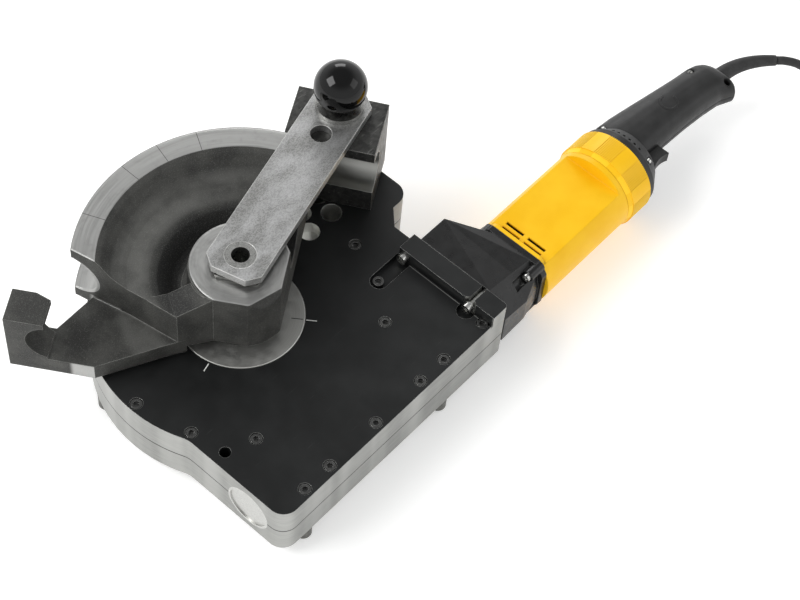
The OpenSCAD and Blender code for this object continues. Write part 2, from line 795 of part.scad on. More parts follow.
module neck_screws() {
    color([0.66, 0.66, 0.66]) on_bench() on_motor_axis() for (s = [-1, 1], t = [-1, 1])
        on_lug(s, t) translate([motor_front - lug_l, 0, 0]) rotate([0, -90, 0])
            cap_screw(neck_screw_d, lug_l + neck_screw_in, neck_head_h);
}

motor_wall = 3.8;
flat_wall = 2;
vent_l = 20;
vent_w = 3.2;
vent_gap = 5;
vent_x = 6.5;
vent_step = 6.6;
spigot_step = 1.2;
spigot_r = motor_r - spigot_step;
spigot_in = spigot_r - motor_wall;
collar_l = 6;
boss_l = 12;
boss_r = 3.6;
ring_turn_angle = 30;
motor_flange_l = 4;

module motor_plan() {
    intersection() {
        circle(r = motor_r);
        square([2 * motor_r, 2 * motor_flat], center = true);
    }
}

module motor_room() {
    intersection() {
        along_x(motor_front - cut, motor_l + cut, spigot_in);
        translate([motor_front - cut, -motor_r, -motor_flat + flat_wall])
            cube([motor_l + cut, 2 * motor_r, 2 * motor_flat - 2 * flat_wall]);
    }
}

module motor_housing() {
    window = 2 * spigot_in * sin((ring_turn_angle + arm_angle) / 2) + arm_w / 2;
    color([0.98, 0.76, 0.12]) on_bench() on_motor_axis() difference() {
        union() {
            translate([motor_front, 0, 0]) rotate([90, 0, 90]) linear_extrude(motor_l) motor_plan();
            along_x(ring_x - collar_l, collar_l, motor_r);
            tube_x(ring_x - cut, ring_l + cut, spigot_r, spigot_in);
            intersection() {
                for (s = [-1, 1], t = [-1, 1]) on_cap_screw(s, t)
                    along_x(cap_x - boss_l, boss_l, boss_r);
                along_x(ring_x, 2 * ring_l, spigot_r);
            }
            translate([motor_front, 0, 0]) rotate([90, 0, 90]) linear_extrude(motor_flange_l)
                intersection() {
                    circle(r = motor_r);
                    rim_window();
                }
        }
        motor_room();
        along_x(ring_x - 2 * cut, 3 * cut, spigot_in);
        for (side = [-1, 1], row = [0, 1], y = [vent_gap / 2, -vent_gap / 2 - vent_l])
            translate([motor_front + vent_x + row * vent_step, y,
                       side > 0 ? motor_flat - flat_wall - cut : -motor_flat - cut])
                cube([vent_w, vent_l, flat_wall + 2 * cut]);
        for (s = [-1, 1], t = [-1, 1]) on_lug(s, t)
            along_x(motor_front - cut, motor_flange_l + 2 * cut, neck_screw_d / 2 + run_gap);
        for (s = [-1, 1], t = [-1, 1]) on_cap_screw(s, t)
            along_x(cap_x - boss_l - cut, boss_l + 2 * cut, cap_screw_d / 2 + run_gap);
        for (a = [0, 180]) rotate([a + ring_turn_angle / 2, 0, 0])
            translate([plate_x - slip_gap, 0, -window / 2])
                cube([plate_l + 2 * slip_gap, motor_r, window]);
    }
}

cap_screw_share = 0.645;
cap_screw_d = 3;
module on_cap_screw(s, t) {
    translate([0, s * motor_r * cap_screw_share, t * motor_r * cap_screw_share]) children();
}

rib_groups = 8;
rib_count = 10;
rib_step_angle = 2.6;
rib_w = 1;
rib_deep = 0.7;
ring_lip = 5;
ring_in = spigot_r + face_gap;

module direction_ring() {
    color([0.99, 0.78, 0.14]) on_bench() on_motor_axis() difference() {
        union() {
            translate([ring_x + ring_lip, 0, 0]) rotate([90, 0, 90])
                linear_extrude(ring_l - ring_lip - face_gap) difference() {
                    circle(r = ring_r);
                    for (g = [0:rib_groups - 1], k = [0:rib_count - 1])
                        rotate(360 * g / rib_groups + (k - rib_count / 2) * rib_step_angle)
                            translate([ring_r - rib_deep, -rib_w / 2]) square([rib_deep + cut, rib_w]);
                }
            translate([ring_x + face_gap, 0, 0]) rotate([0, 90, 0])
                cylinder(r1 = ring_r - ring_lip / 2, r2 = ring_r - rib_deep, h = ring_lip);
        }
        along_x(ring_x - cut, ring_l + 2 * cut, ring_in);
        for (a = [0, 180]) rotate([a, 0, 0])
            translate([plate_x - seat_gap, 0, -arm_w / 2 - seat_gap])
                cube([plate_l + 2 * seat_gap, arm_reach + seat_gap, arm_w + 2 * seat_gap]);
    }
}

stator_start = 26;
stator_x = motor_front + stator_start;
stator_l = 52;
stator_bore = 20.6;
winding_r = 24;
winding_l = 6;
core_r = 20;
com_r = 14;
com_l = 19;
com_start = 2;
com_x = ring_x - com_start;
fan_start = 4;
fan_x = motor_front + fan_start;
fan_l = 10;
fan_r = 23.5;
rear_bearing_in = 9;
rear_bearing_x = cap_x - rear_bearing_in;

module stator() {
    color([0.45, 0.45, 0.47]) on_bench() on_motor_axis() intersection() {
        tube_x(stator_x, stator_l, spigot_in - seat_gap, stator_bore);
        translate([stator_x, -motor_r, -motor_flat + flat_wall + seat_gap])
            cube([stator_l, 2 * motor_r, 2 * (motor_flat - flat_wall - seat_gap)]);
    }
}

module stator_windings() {
    color([0.7, 0.36, 0.16]) on_bench() on_motor_axis()
        for (x0 = [stator_x - winding_l - seat_gap, stator_x + stator_l + seat_gap])
            tube_x(x0, winding_l, winding_r, stator_bore);
}

slots = 12;
slot_w = 3;
slot_deep = 6;
module armature() {
    pinion_end = gear_two_x - shaft_over / 2;
    thick_x = gear_two_x + gear_w + shaft_over / 2;
    color([0.5, 0.5, 0.52]) on_bench() on_motor_axis() {
        along_x(pinion_end, rear_bearing_x + motor_bearing_l - pinion_end, shaft_r - cut);
        along_x(thick_x, rear_bearing_x - thick_x, shaft_r);
        translate([stator_x + cut, 0, 0]) rotate([90, 0, 90]) linear_extrude(stator_l - 2 * cut)
            difference() {
                circle(r = core_r);
                circle(r = shaft_r / 2);
                for (k = [0:slots - 1]) rotate(360 * k / slots)
                    translate([core_r - slot_deep, -slot_w / 2]) square([slot_deep + cut, slot_w]);
            }
    }
}

module commutator() {
    color([0.75, 0.45, 0.25]) on_bench() on_motor_axis()
        tube_x(com_x, com_l, com_r, shaft_r + seat_gap);
}

blades = 11;
blade_w = 1.6;
fan_hub = 3;
fan_disc = 2;
module cooling_fan() {
    color([0.25, 0.25, 0.26]) on_bench() on_motor_axis() {
        tube_x(fan_x, fan_disc, fan_r, shaft_r + seat_gap);
        tube_x(fan_x, fan_l, shaft_r + fan_hub, shaft_r + seat_gap);
        for (k = [0:blades - 1]) rotate([360 * k / blades, 0, 0])
            translate([fan_x + fan_disc / 2, shaft_r + fan_hub / 2, -blade_w / 2])
                cube([fan_l - fan_disc / 2, fan_r - shaft_r - fan_hub, blade_w]);
    }
}

module motor_pinion() {
    color([0.55, 0.55, 0.57]) on_bench() on_motor_axis()
        small_gear(pinion_teeth, gear_two_x, gear_w, shaft_r - cut + seat_gap, half_tooth);
}

module motor_bearings() {
    color([0.62, 0.62, 0.62]) on_bench() on_motor_axis() {
        tube_x(motor_front - motor_bearing_l, motor_bearing_l - slip_gap, motor_bearing_r,
               shaft_r + run_gap);
        tube_x(rear_bearing_x + slip_gap, motor_bearing_l - 2 * slip_gap, motor_bearing_r,
               shaft_r - cut + run_gap);
    }
}

// Brush plate: turned by the direction ring through two arms, and carrying the brushes
plate_start = 14;
plate_x = ring_x + plate_start;
plate_l = 4;
plate_r = 32;
plate_in = 17;
arm_w = 8;
arm_reach = (ring_in + ring_r) / 2;
arm_angle = 2 * asin(arm_w / 2 / spigot_in);
brush_w = 7;
brush_l = 14;
holder_w = 11;

module brush_plate() {
    color([0.34, 0.24, 0.18]) on_bench() on_motor_axis() {
        tube_x(plate_x, plate_l, plate_r, plate_in);
        for (a = [0, 180]) rotate([a, 0, 0])
            translate([plate_x, plate_r - cut, -arm_w / 2])
                cube([plate_l, arm_reach - plate_r + cut, arm_w]);
    }
}

module brush_holders() {
    color([0.72, 0.56, 0.3]) on_bench() on_motor_axis() for (a = [0, 180]) rotate([a, 0, 0])
        translate([plate_x - holder_w - seat_gap, plate_in, -holder_w / 2]) difference() {
            cube([holder_w, plate_r - plate_in, holder_w]);
            translate([(holder_w - brush_w) / 2 - seat_gap, -cut, (holder_w - brush_w) / 2 - seat_gap])
                cube([brush_w + 2 * seat_gap, brush_l + cut, brush_w + 2 * seat_gap]);
        }
}

module carbon_brushes() {
    brush_in = com_r + run_gap;
    color([0.12, 0.12, 0.12]) on_bench() on_motor_axis() for (a = [0, 180]) rotate([a, 0, 0])
        translate([plate_x - seat_gap - (holder_w + brush_w) / 2, brush_in, -brush_w / 2])
            cube([brush_w, brush_l, brush_w]);
}

cap_r0 = 42;
cap_r1 = 33;
cap_flat_l = 7;
cap_seat_l = 11;
cap_vents = 6;
cap_vent_d = 2.8;
cap_vent_angle = 9.2;
cap_vent_x = 11;
cap_skin = 5;
cap_hub = 4;
cap_lug_r = 3.8;
cap_head_h = 2.5;
module rear_cap() {
    hub_x = rear_bearing_x - slip_gap;
    room_in = motor_bearing_r + cap_hub + cut;
    color([0.2, 0.2, 0.2]) on_bench() on_motor_axis() difference() {
        union() {
            along_x(cap_x + slip_gap, cap_flat_l - slip_gap, cap_r0);
            translate([cap_x + cap_flat_l, 0, 0]) rotate([0, 90, 0])
                cylinder(r1 = cap_r0, r2 = cap_r1, h = cap_l - cap_flat_l);
            along_x(hub_x, cap_x + cap_l - hub_x, motor_bearing_r + cap_hub);
        }
        along_x(hub_x - cut, motor_bearing_l + cut + slip_gap, motor_bearing_r + seat_gap);
        along_x(hub_x, cap_x + cap_l - hub_x + cut, shaft_r + room_gap);
        tube_x(cap_x - cut, cap_l - cap_skin, cap_r1 - cap_skin, room_in);
        for (k = [0:cap_vents - 1]) rotate([cap_vent_angle * (k - (cap_vents - 1) / 2), 0, 0])
            translate([cap_x + cap_vent_x, 0, room_in + cap_skin])
                cylinder(r = cap_vent_d / 2, h = cap_r0);
        for (s = [-1, 1], t = [-1, 1]) on_cap_screw(s, t) {
            along_x(cap_x - cut, cap_l + 2 * cut, cap_screw_d / 2 + run_gap);
            along_x(cap_x + cap_seat_l, cap_l, cap_lug_r);
        }
    }
}

module cap_screws() {
    color([0.7, 0.7, 0.7]) on_bench() on_motor_axis() for (s = [-1, 1], t = [-1, 1])
        on_cap_screw(s, t) translate([cap_x + cap_seat_l, 0, 0]) rotate([0, 90, 0])
            cap_screw(cap_screw_d, boss_l + cap_seat_l, cap_head_h);
}

// Handle: stations along its length as shares [length, sideways, half width, half height]
handle_y0 = 13;
handle_drop = 17.2;
handle_a = 27.6;
handle_b = 20.5;
handle_shares = [[0, 0, 1, 1], [0.12, 0.04, 0.97, 0.99], [0.3, 0.19, 0.91, 0.98],
                 [0.5, 0.36, 0.837, 0.98], [0.7, 0.56, 0.795, 0.97], [0.79, 0.66, 0.8, 0.97],
                 [0.85, 0.73, 0.804, 0.95], [0.9, 0.88, 0.83, 0.93], [0.945, 1.07, 0.837, 0.84],
                 [0.975, 1.1, 0.708, 0.68], [0.992, 1.07, 0.527, 0.5], [1, 1, 0.36, 0.4]];
handle_sides = 28;
handle_square_share = 2.6;
function bent(v) = sign(v) * pow(abs(v), 2 / handle_square_share);
function handle_ring(s, wall) = [
    for (i = [0:handle_sides - 1]) let (t = 360 * i / handle_sides)
        [handle_x + seat_gap + s[0] * (handle_l - seat_gap),
         handle_y0 - s[1] * handle_drop + bent(cos(t)) * (s[2] * handle_a - wall),
         bent(sin(t)) * (s[3] * handle_b - wall)]];

// The hollow stops one station short of the closed end and is open towards the cap
handle_last = len(handle_shares) - 2;
handle_hollow = [for (k = [0:handle_last]) handle_ring(handle_shares[k], handle_wall)];
handle_mouth = [for (p = handle_hollow[0]) p - [cut, 0, 0]];
handle_boss_r = 4.6;
handle_screw_d = 3.5;
handle_screw_l = 18;
handle_head_h = 2.6;
handle_screw_shares = [[0.813, 0.525, 0.605], [0.925, -0.652, 0.263]];
handle_screw_places = [for (s = handle_screw_shares)
    [handle_x + s[0] * handle_l, s[1] * handle_a, s[2] * handle_b]];
trigger_start = 7;
trigger_x = handle_x + trigger_start;
trigger_l = 21;
trigger_out = 13;
trigger_in = 12;
trigger_edge = handle_y0 - handle_a;
finger_r = 26;
finger_deep = 2.6;
boot_r0 = 8.4;
boot_r1 = 5.3;
boot_side = 1;
boot_y = handle_y0 - handle_drop + boot_side;

module handle_bosses() {
    for (p = handle_screw_places) translate([p[0], p[1], -handle_b])
        cylinder(r = handle_boss_r, h = 2 * handle_b, $fn = 24);
}

module handle_shell() {
    difference() {
        skin([for (s = handle_shares) handle_ring(s, 0)]);
        difference() {
            skin(concat([handle_mouth], handle_hollow));
            handle_bosses();
        }
        translate([trigger_x - face_gap, trigger_edge - handle_a, -trigger_w / 2 - face_gap])
            cube([trigger_l + 2 * face_gap, 1.6 * handle_a, trigger_w + 2 * face_gap]);
        for (p = handle_screw_places) {
            translate([p[0], p[1], -handle_b]) cylinder(r = handle_screw_d / 2 + run_gap, h = 2 * handle_b);
            translate([p[0], p[1], p[2]]) cylinder(r = handle_boss_r - cut, h = handle_b);
        }
        translate([handle_end, boot_y, 0]) rotate([0, -90, 0])
            cylinder(r = boot_r0 + seat_gap, h = boot_grip_l);
    }
}

module handle_half(side) {
    on_motor_axis() intersection() {
        handle_shell();
        translate([handle_x - cut, -3 * handle_a, side > 0 ? seat_gap / 2 : -2 * handle_b])
            cube([handle_l + 2 * cut, 6 * handle_a, 2 * handle_b - seat_gap / 2]);
    }
}

module handle_upper() {
    color([0.19, 0.19, 0.19]) on_bench() handle_half(1);
}

module handle_lower() {
    color([0.17, 0.17, 0.17]) on_bench() handle_half(-1);
}

module handle_screws() {
    color([0.7, 0.7, 0.7]) on_bench() on_motor_axis() for (p = handle_screw_places)
        translate(p) cap_screw(handle_screw_d, handle_screw_l, handle_head_h);
}

module trigger() {
    mid = trigger_x + trigger_l / 2;
    color([0.21, 0.21, 0.21]) on_bench() on_motor_axis() difference() {
        translate([trigger_x, trigger_edge - trigger_out, -trigger_w / 2])
            cube([trigger_l, trigger_out + trigger_in, trigger_w]);
        translate([mid, trigger_edge - trigger_out - finger_r + finger_deep, -trigger_w / 2 - cut])
            cylinder(r = finger_r, h = trigger_w + 2 * cut);
    }
}

switch_l = 42;
switch_w = 17;
switch_h = 22;
module switch_block() {
    reach_z = handle_shares[2][3] * handle_b - handle_wall - slip_gap;
    switch_y = trigger_edge + trigger_in + trigger_travel + face_gap;
    rib_l = 6;
    rib_y = 6;
    color([0.1, 0.1, 0.1]) on_bench() on_motor_axis() {
        translate([trigger_x, switch_y, -switch_h / 2]) cube([switch_l, switch_w, switch_h]);
        translate([trigger_x + switch_l - rib_l, switch_y + rib_y, -reach_z])
            cube([rib_l, rib_y, 2 * reach_z]);
    }
}

boot_bend = 26;
boot_fall = 3;
boot_steps = 10;
boot_grip_l = 12;
function boot_point(t) = [handle_end + t * boot_l, boot_y - boot_bend * t * t, -boot_fall * t * t * t];
boot_end = boot_point(1);
boot_dir = unit(boot_point(1) - boot_point(1 - 0.5 / boot_steps));

module strain_relief() {
    color([0.13, 0.13, 0.13]) on_bench() on_motor_axis() {
        swept_tube([for (k = [0:boot_steps]) boot_point(k / boot_steps)],
                   [for (k = [0:boot_steps]) boot_r0 + (boot_r1 - boot_r0) * k / boot_steps], 12);
        translate([handle_end + cut, boot_y, 0]) rotate([0, -90, 0])
            cylinder(r = boot_r0 - seat_gap, h = boot_grip_l + cut);
    }
}

// Bending former, slide block and support bar

hub_r = 43;
hub_flat_x = 40.5;
hub_flat_y = 38.4;
hub_drop = 4.3;
hub_top = former_top - hub_drop;
hub_facet_in = 3.5;
hub_facet_h = 10;
boss_low_r = 33;
dish_deep = 38;
dish_shares = [[0.012, 0.2], [0.03, 0.92], [0.09, 1], [0.19, 0.9], [0.35, 0.58], [0.51, 0.48],
               [0.67, 0.5], [0.84, 0.34], [0.945, 0.09], [0.99, 0.02]];
wall_shares = [[-0.128, 0.996], [-0.181, 0.848], [-0.254, 0.621], [-0.386, 0.304], [-0.361, 0.256],
               [-0.289, 0.107]];
wall_points = [for (s = wall_shares) s * bend_r];
web_angle = 116;
web_w = 25;
web_ramp = 32;
web_low = 20;

module former_revolve() {
    dish_w = rim_in - hub_r;
    curve = smooth([for (k = [1:len(dish_shares) - 1]) dish_shares[k]], 2);
    rotate_extrude($fn = 128) polygon(concat(
        [[0, former_low], [rim_r, former_low], [rim_r, former_top], [rim_in, former_top]],
        [for (k = [len(curve) - 1:-1:0])
            [hub_r + curve[k][0] * dish_w, former_top - curve[k][1] * dish_deep]],
        [[hub_r + dish_shares[0][0] * dish_w, former_top - dish_shares[0][1] * dish_deep],
         [hub_r - cut, former_top - dish_shares[0][1] * dish_deep],
         [0, former_top - dish_shares[0][1] * dish_deep]]));
}

module web_plan() {
    far = 1.2 * rim_r;
    polygon(concat([[0, 0], [0, -hub_flat_y], [far, -hub_flat_y], [far, far],
                    [wall_points[0][0], far]], wall_points));
}

// The casting rises from the dish to the hub along its cut side
module front_web() {
    web_foot = former_top - dish_shares[6][1] * dish_deep;
    foot = wall_points[len(wall_points) - 1];
    translate([foot[0], foot[1], 0]) rotate(web_angle) rotate([90, 0, 0]) linear_extrude(web_w)
        polygon([[-web_low, web_low], [-web_low, hub_top - cut], [0, hub_top - cut],
                 [web_ramp, web_foot], [2 * web_ramp, web_foot], [2 * web_ramp, web_low]]);
}

module arm_plan() {
    root_x = -0.14 * bend_r;
    polygon([[hook_x0, hook_y1], [hook_x0, arm_y0], [arm_x1, arm_y1], wall_points[4],
             [root_x, -3 * root_x], [root_x, rim_in], [hook_x0 + hook_w, bend_r + hook_in],
             [hook_x0 + hook_w, hook_y1]]);
}

arm_y0 = 105;
arm_x1 = -59;
arm_y1 = 51;

module hook_plan() {
    x1 = hook_x0 + hook_w;
    y0 = bend_r + hook_in;
    polygon([[hook_x0, hook_y1], [hook_x0, y0], [x1 - hook_chamfer, y0], [x1, y0 + hook_chamfer_l],
             [x1, hook_y1]]);
}

module hub_facet() {
    rotate(225) translate([hub_r - hub_facet_in, -hub_r, hub_top]) rotate([0, hub_facet_angle, 0])
        translate([0, 0, -2 * hub_r]) cube([hub_r, 2 * hub_r, 3 * hub_r]);
}

hub_facet_angle = -atan(hub_facet_in / hub_facet_h);

module bending_former() {
    color([0.33, 0.33, 0.32]) on_bench() rotate(former_turn) difference() {
        union() {
            intersection() {
                union() {
                    former_revolve();
                    front_web();
                }
                translate([0, 0, former_low]) linear_extrude(former_top) web_plan();
            }
            translate([0, 0, former_low]) difference() {
                linear_extrude(hub_top - former_low) intersection() {
                    circle(r = hub_r);
                    translate([-hub_flat_x, -hub_flat_y]) square(2 * hub_r);
                }
                translate([0, 0, -former_low]) hub_facet();
            }
            translate([0, 0, disc_rise + seat_gap]) cylinder(r = boss_low_r, h = former_low);
            translate([0, 0, arm_low]) linear_extrude(arm_top - arm_low) arm_plan();
            translate([0, 0, hook_low]) linear_extrude(hook_top - hook_low) hook_plan();
        }
        intersection() {
            rotate_extrude($fn = 128) translate([bend_r, pipe_z]) circle(r = groove_r);
            translate([0, -2 * bend_r, 0]) cube([2 * bend_r, 4 * bend_r, 2 * pipe_z]);
        }
        translate([hook_x0 - cut, bend_r, pipe_z]) rotate([0, 90, 0])
            cylinder(r = groove_r, h = -hook_x0 + 2 * cut);
        translate([-square_w / 2 - slip_gap, -square_w / 2 - slip_gap, 0])
            linear_extrude(2 * former_top)
                rounded_plan(square_w + 2 * slip_gap, square_w + 2 * slip_gap, square_corner);
    }
}

rim_clear = 1.6;
// The block swings this far in on its bolt, and its lip still clears the former's rim
slide_swing = 15;
swing_gap = 0.6;
slide_lip = bolt_reach * (cos(slide_dir - slide_swing - bar_dir) - cos(slide_dir - bar_dir))
    - rim_over - swing_gap;
bolt_n = bolt_reach * cos(bar_dir - slide_dir);
bolt_t = bolt_reach * sin(bar_dir - slide_dir);
bar_z = former_top + slip_gap;

module slide_block() {
    slide_top = bar_z - face_gap;
    color([0.29, 0.29, 0.29]) on_bench() rotate(slide_dir) difference() {
        translate([bend_r - slide_lip, bolt_t - slide_l / 2, face_gap])
            cube([slide_back + slide_lip, slide_l, slide_top - face_gap]);
        translate([0, 0, -cut]) cylinder(r = rim_r + rim_clear, h = slide_top + 2 * cut, $fn = 128);
        translate([bend_r, bolt_t + slide_l, pipe_z]) rotate([90, 0, 0])
            cylinder(r = groove_r, h = 2 * slide_l);
        translate([bolt_n, bolt_t, -cut]) cylinder(r = bolt_d / 2 + run_gap, h = slide_top + 2 * cut);
    }
}

bar_end = 21.3;
bar_chamfer = 10;
module bar_plan() {
    x0 = -bar_end;
    x1 = bolt_reach + bar_end;
    y1 = bar_w / 2;
    c = bar_chamfer;
    polygon([[x0 + c, -y1], [x1 - c, -y1], [x1, -y1 + c], [x1, y1 - c], [x1 - c, y1], [x0 + c, y1],
             [x0, y1 - c], [x0, -y1 + c]]);
}

module support_bar() {
    color([0.66, 0.66, 0.64]) on_bench() rotate(bar_dir) difference() {
        translate([0, 0, bar_z]) linear_extrude(bar_h) bar_plan();
        translate([0, 0, bar_z - cut]) cylinder(r = stub_d / 2, h = bar_h + 2 * cut);
        translate([spare_x, 0, bar_z - cut]) cylinder(r = hole_d / 2, h = bar_h + 2 * cut);
        translate([bolt_reach, 0, bar_z - cut]) cylinder(r = bolt_d / 2 + run_gap, h = bar_h + 2 * cut);
    }
}

collar_h = 4.6;
collar_r = 21.5;
ball_drop = 2;
bolt_low = 40;
bolt_tip = 3;
thread_l = 18;
bolt_thread_r = 5;

module on_bolt() {
    translate([bolt_reach * cos(bar_dir), bolt_reach * sin(bar_dir), bar_z + bar_h]) children();
}

module plug_bolt() {
    shank = bar_z + bar_h + bolt_low;
    color([0.62, 0.62, 0.62]) on_bench() on_bolt() {
        translate([0, 0, -shank + bolt_tip]) cylinder(r = bolt_d / 2, h = shank - bolt_tip + slip_gap);
        translate([0, 0, -shank]) cylinder(r1 = bolt_d / 2 - bolt_tip / 2, r2 = bolt_d / 2, h = bolt_tip);
        cylinder(r = bolt_thread_r, h = collar_h + thread_l);
    }
}

module bolt_collar() {
    color([0.6, 0.6, 0.6]) on_bench() on_bolt()
        tube_z(slip_gap, collar_h - slip_gap, collar_r, bolt_thread_r + seat_gap);
}

module ball_knob() {
    ball_r = ball_d / 2;
    color([0.05, 0.05, 0.05]) on_bench() on_bolt() difference() {
        translate([0, 0, collar_h + ball_r - ball_drop]) sphere(r = ball_r);
        translate([-ball_r, -ball_r, -cut]) cube([2 * ball_r, 2 * ball_r, collar_h + cut]);
        cylinder(r = bolt_thread_r + seat_gap, h = collar_h + thread_l + slip_gap);
    }
}

// Mains lead: free stretch, coil and plug. The route's points are on the bench, in its own frame
cord_r = cord_d / 2;
cord_gap = 0.6;
cord_exit = boot_end + [-mid_x, -motor_y - mid_y, axis_z + stand_h];
cord_lead = cord_exit + cord_d * boot_dir;
cord_route = [[398.5, -156.3, 37.6], [406.7, -172.2, 28.5], [408.5, -192.3, 13.8], [406.4, -208.3, 6.9]];
coil_x = 477;
coil_y = -242;
coil_turns = 4.25;
coil_pitch = cord_d + cord_gap;
coil_in = 33;
coil_steps = 24;
coil_start_angle = 180;
coil_tail_l = 40;
coil_half = coil_turns * 360;
coil_last = 2 * coil_turns * coil_steps;
function coil_point(a) =
    let (r = coil_in + coil_pitch * abs(a - coil_half) / 360,
         up = min(max((a - coil_half + 90) / 180, 0), 1))
    [coil_x + r * cos(coil_start_angle + a), coil_y + r * sin(coil_start_angle + a),
     cord_r + coil_pitch * up];
function coil_heading(a) = [-sin(coil_start_angle + a), cos(coil_start_angle + a), 0];
coil_in_dir = coil_heading(0);
coil_out_dir = coil_heading(2 * coil_half);
coil_head = coil_point(0) - cord_d * coil_in_dir;
coil_tail = coil_point(2 * coil_half) + coil_tail_l * coil_out_dir;
coil_path = concat([coil_head], [for (k = [0:coil_last]) coil_point(360 * k / coil_steps)], [coil_tail]);
cord_bends = smooth(concat([cord_lead], cord_route, [coil_head - cord_d * coil_in_dir]), 3);
cord_points = concat([cord_exit], cord_bends, [coil_head]);

module cord() {
    color([0.09, 0.09, 0.09]) swept_tube(cord_points, [for (p = cord_points) cord_r], 8);
}

module cord_coil() {
    color([0.1, 0.1, 0.1]) swept_tube(coil_path, [for (p = coil_path) cord_r], 6);
}

// Least gap of the coil to itself, between rings a half turn or more apart
coil_gap = min([for (i = [0:len(coil_path) - 1], j = [i + coil_steps / 2:1:len(coil_path) - 1])
    norm(coil_path[i] - coil_path[j])]) - cord_d;
function path_length(p) = [for (i = [1:len(p) - 1]) norm(p[i] - p[i - 1])] * [for (i = [2:len(p)]) 1];
echo(coil_gap = coil_gap, cord_length = path_length(cord_points), coil_length = path_length(coil_path));

plug_neck_r = 6.5;
plug_mid_r = 9.5;
plug_end_r = 13.2;
plug_neck_l = 16;
plug_body_l = 22;
plug_face_l = 5;
pin_r = 2.4;
pin_l = 19;
pin_gap = 19;

module on_plug() {
    translate(coil_tail) rotate(coil_start_angle + 2 * coil_half + 90) rotate([0, 90, 0]) children();
}

module mains_plug() {
    color([0.1, 0.1, 0.1]) on_plug() {
        cylinder(r1 = plug_neck_r, r2 = plug_mid_r, h = plug_neck_l);
        translate([0, 0, plug_neck_l]) cylinder(r1 = plug_mid_r, r2 = plug_end_r, h = plug_body_l);
        translate([0, 0, plug_neck_l + plug_body_l]) cylinder(r = plug_end_r, h = plug_face_l);
    }
}

module plug_pins() {
    color([0.7, 0.7, 0.68]) on_plug() for (s = [-1, 1])
        translate([0, s * pin_gap / 2, plug_neck_l + plug_body_l + plug_face_l])
            cylinder(r = pin_r, h = pin_l);
}

lower_housing();
upper_housing();
housing_screws();
feet();
bearing_plug();
spindle_bearing_top();
spindle_bearing_low();
driver_spindle();
driver_disc();
worm_wheel();
wheel_key();
worm_shaft();
clutch_gear();
clutch_spring();
clutch_nut();
worm_bearings();
counter_shaft();
counter_bearings();
gear_neck();
flange_screws();
neck_screws();
motor_housing();
direction_ring();
stator();
stator_windings();
armature();
commutator();
cooling_fan();
motor_pinion();
motor_bearings();
brush_plate();
brush_holders();
carbon_brushes();
rear_cap();
cap_screws();
handle_upper();
handle_lower();
handle_screws();
trigger();
switch_block();
strain_relief();
bending_former();
slide_block();
support_bar();
plug_bolt();
bolt_collar();
ball_knob();
cord();
cord_coil();
mains_plug();
plug_pins();
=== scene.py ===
"""Looks of the electric pipe bender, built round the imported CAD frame.

Lengths of the machine are given in millimetres about the bending axis at the housing's top face,
as in the part's source; place() turns them into the frame's metres.
"""

import math

import bpy
import numpy as np
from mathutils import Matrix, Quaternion, Vector


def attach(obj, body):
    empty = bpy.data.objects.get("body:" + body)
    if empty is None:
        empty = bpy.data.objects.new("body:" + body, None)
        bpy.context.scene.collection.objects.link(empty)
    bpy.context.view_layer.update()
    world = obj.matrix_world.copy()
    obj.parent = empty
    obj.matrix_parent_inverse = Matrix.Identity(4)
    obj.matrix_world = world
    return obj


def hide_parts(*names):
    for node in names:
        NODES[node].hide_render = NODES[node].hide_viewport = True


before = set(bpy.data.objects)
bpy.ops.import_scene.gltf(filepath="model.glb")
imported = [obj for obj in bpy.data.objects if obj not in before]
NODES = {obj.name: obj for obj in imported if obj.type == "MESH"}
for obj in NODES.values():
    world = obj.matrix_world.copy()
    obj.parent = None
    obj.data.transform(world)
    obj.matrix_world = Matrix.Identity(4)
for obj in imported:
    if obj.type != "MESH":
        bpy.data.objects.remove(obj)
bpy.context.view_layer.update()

MM = 1000.0
MID_X, MID_Y, STAND_H = 209.4723, -13.7, 75.2
MOTOR_Y, AXIS_Z = 124.6, -30.0
SEAM_Z = -30.0
HOLES = [(134.0, 17.2), (104.9, 17.0), (114.5, 36.5), (140.1, 39.1)]
# the pipe's groove: radius of the bend, height of its middle, and where its polished wall ends
BEND_R, PIPE_Z, GROOVE_ENDS = 140.0, 47.5, (21.9, 22.4)
FORMER_TURN, SLIDE_TURN, BAR_TURN = (math.radians(angle) for angle in (32.4, 29.4, 15.6))
GRADUATIONS = (60.0, 75.0, 90.0, 114.0)
# first of the ring's eight groups of grooves, and a whole turn that keeps its modulo above 0
GROUP_TURN = math.radians(1.3 + 22.5 + 360.0)


def place(x, y, z):
    """Point given in the machine's millimetres, in the frame's metres."""
    return Vector(((x - MID_X) / MM, (y - MID_Y) / MM, (z + STAND_H) / MM))


# meshes


def grid_mesh(name, points, wrap_u=False, wrap_v=False, smooth=True):
    """Mesh over a numpy grid points[u, v] = (x, y, z) in metres, closed round as wrap says."""
    nu, nv = points.shape[:2]
    verts = points.reshape(-1, 3)
    u = np.arange(nu if wrap_u else nu - 1)
    v = np.arange(nv if wrap_v else nv - 1)
    uu, vv = np.meshgrid(u, v, indexing="ij")
    un, vn = (uu + 1) % nu, (vv + 1) % nv
    quads = np.stack([uu * nv + vv, un * nv + vv, un * nv + vn, uu * nv + vn], -1)
    mesh = bpy.data.meshes.new(name)
    mesh.from_pydata(verts.tolist(), [], quads.reshape(-1, 4).tolist())
    mesh.polygons.foreach_set("use_smooth", [smooth] * len(mesh.polygons))
    mesh.update()
    piece = bpy.data.objects.new(name, mesh)
    bpy.context.scene.collection.objects.link(piece)
    return piece


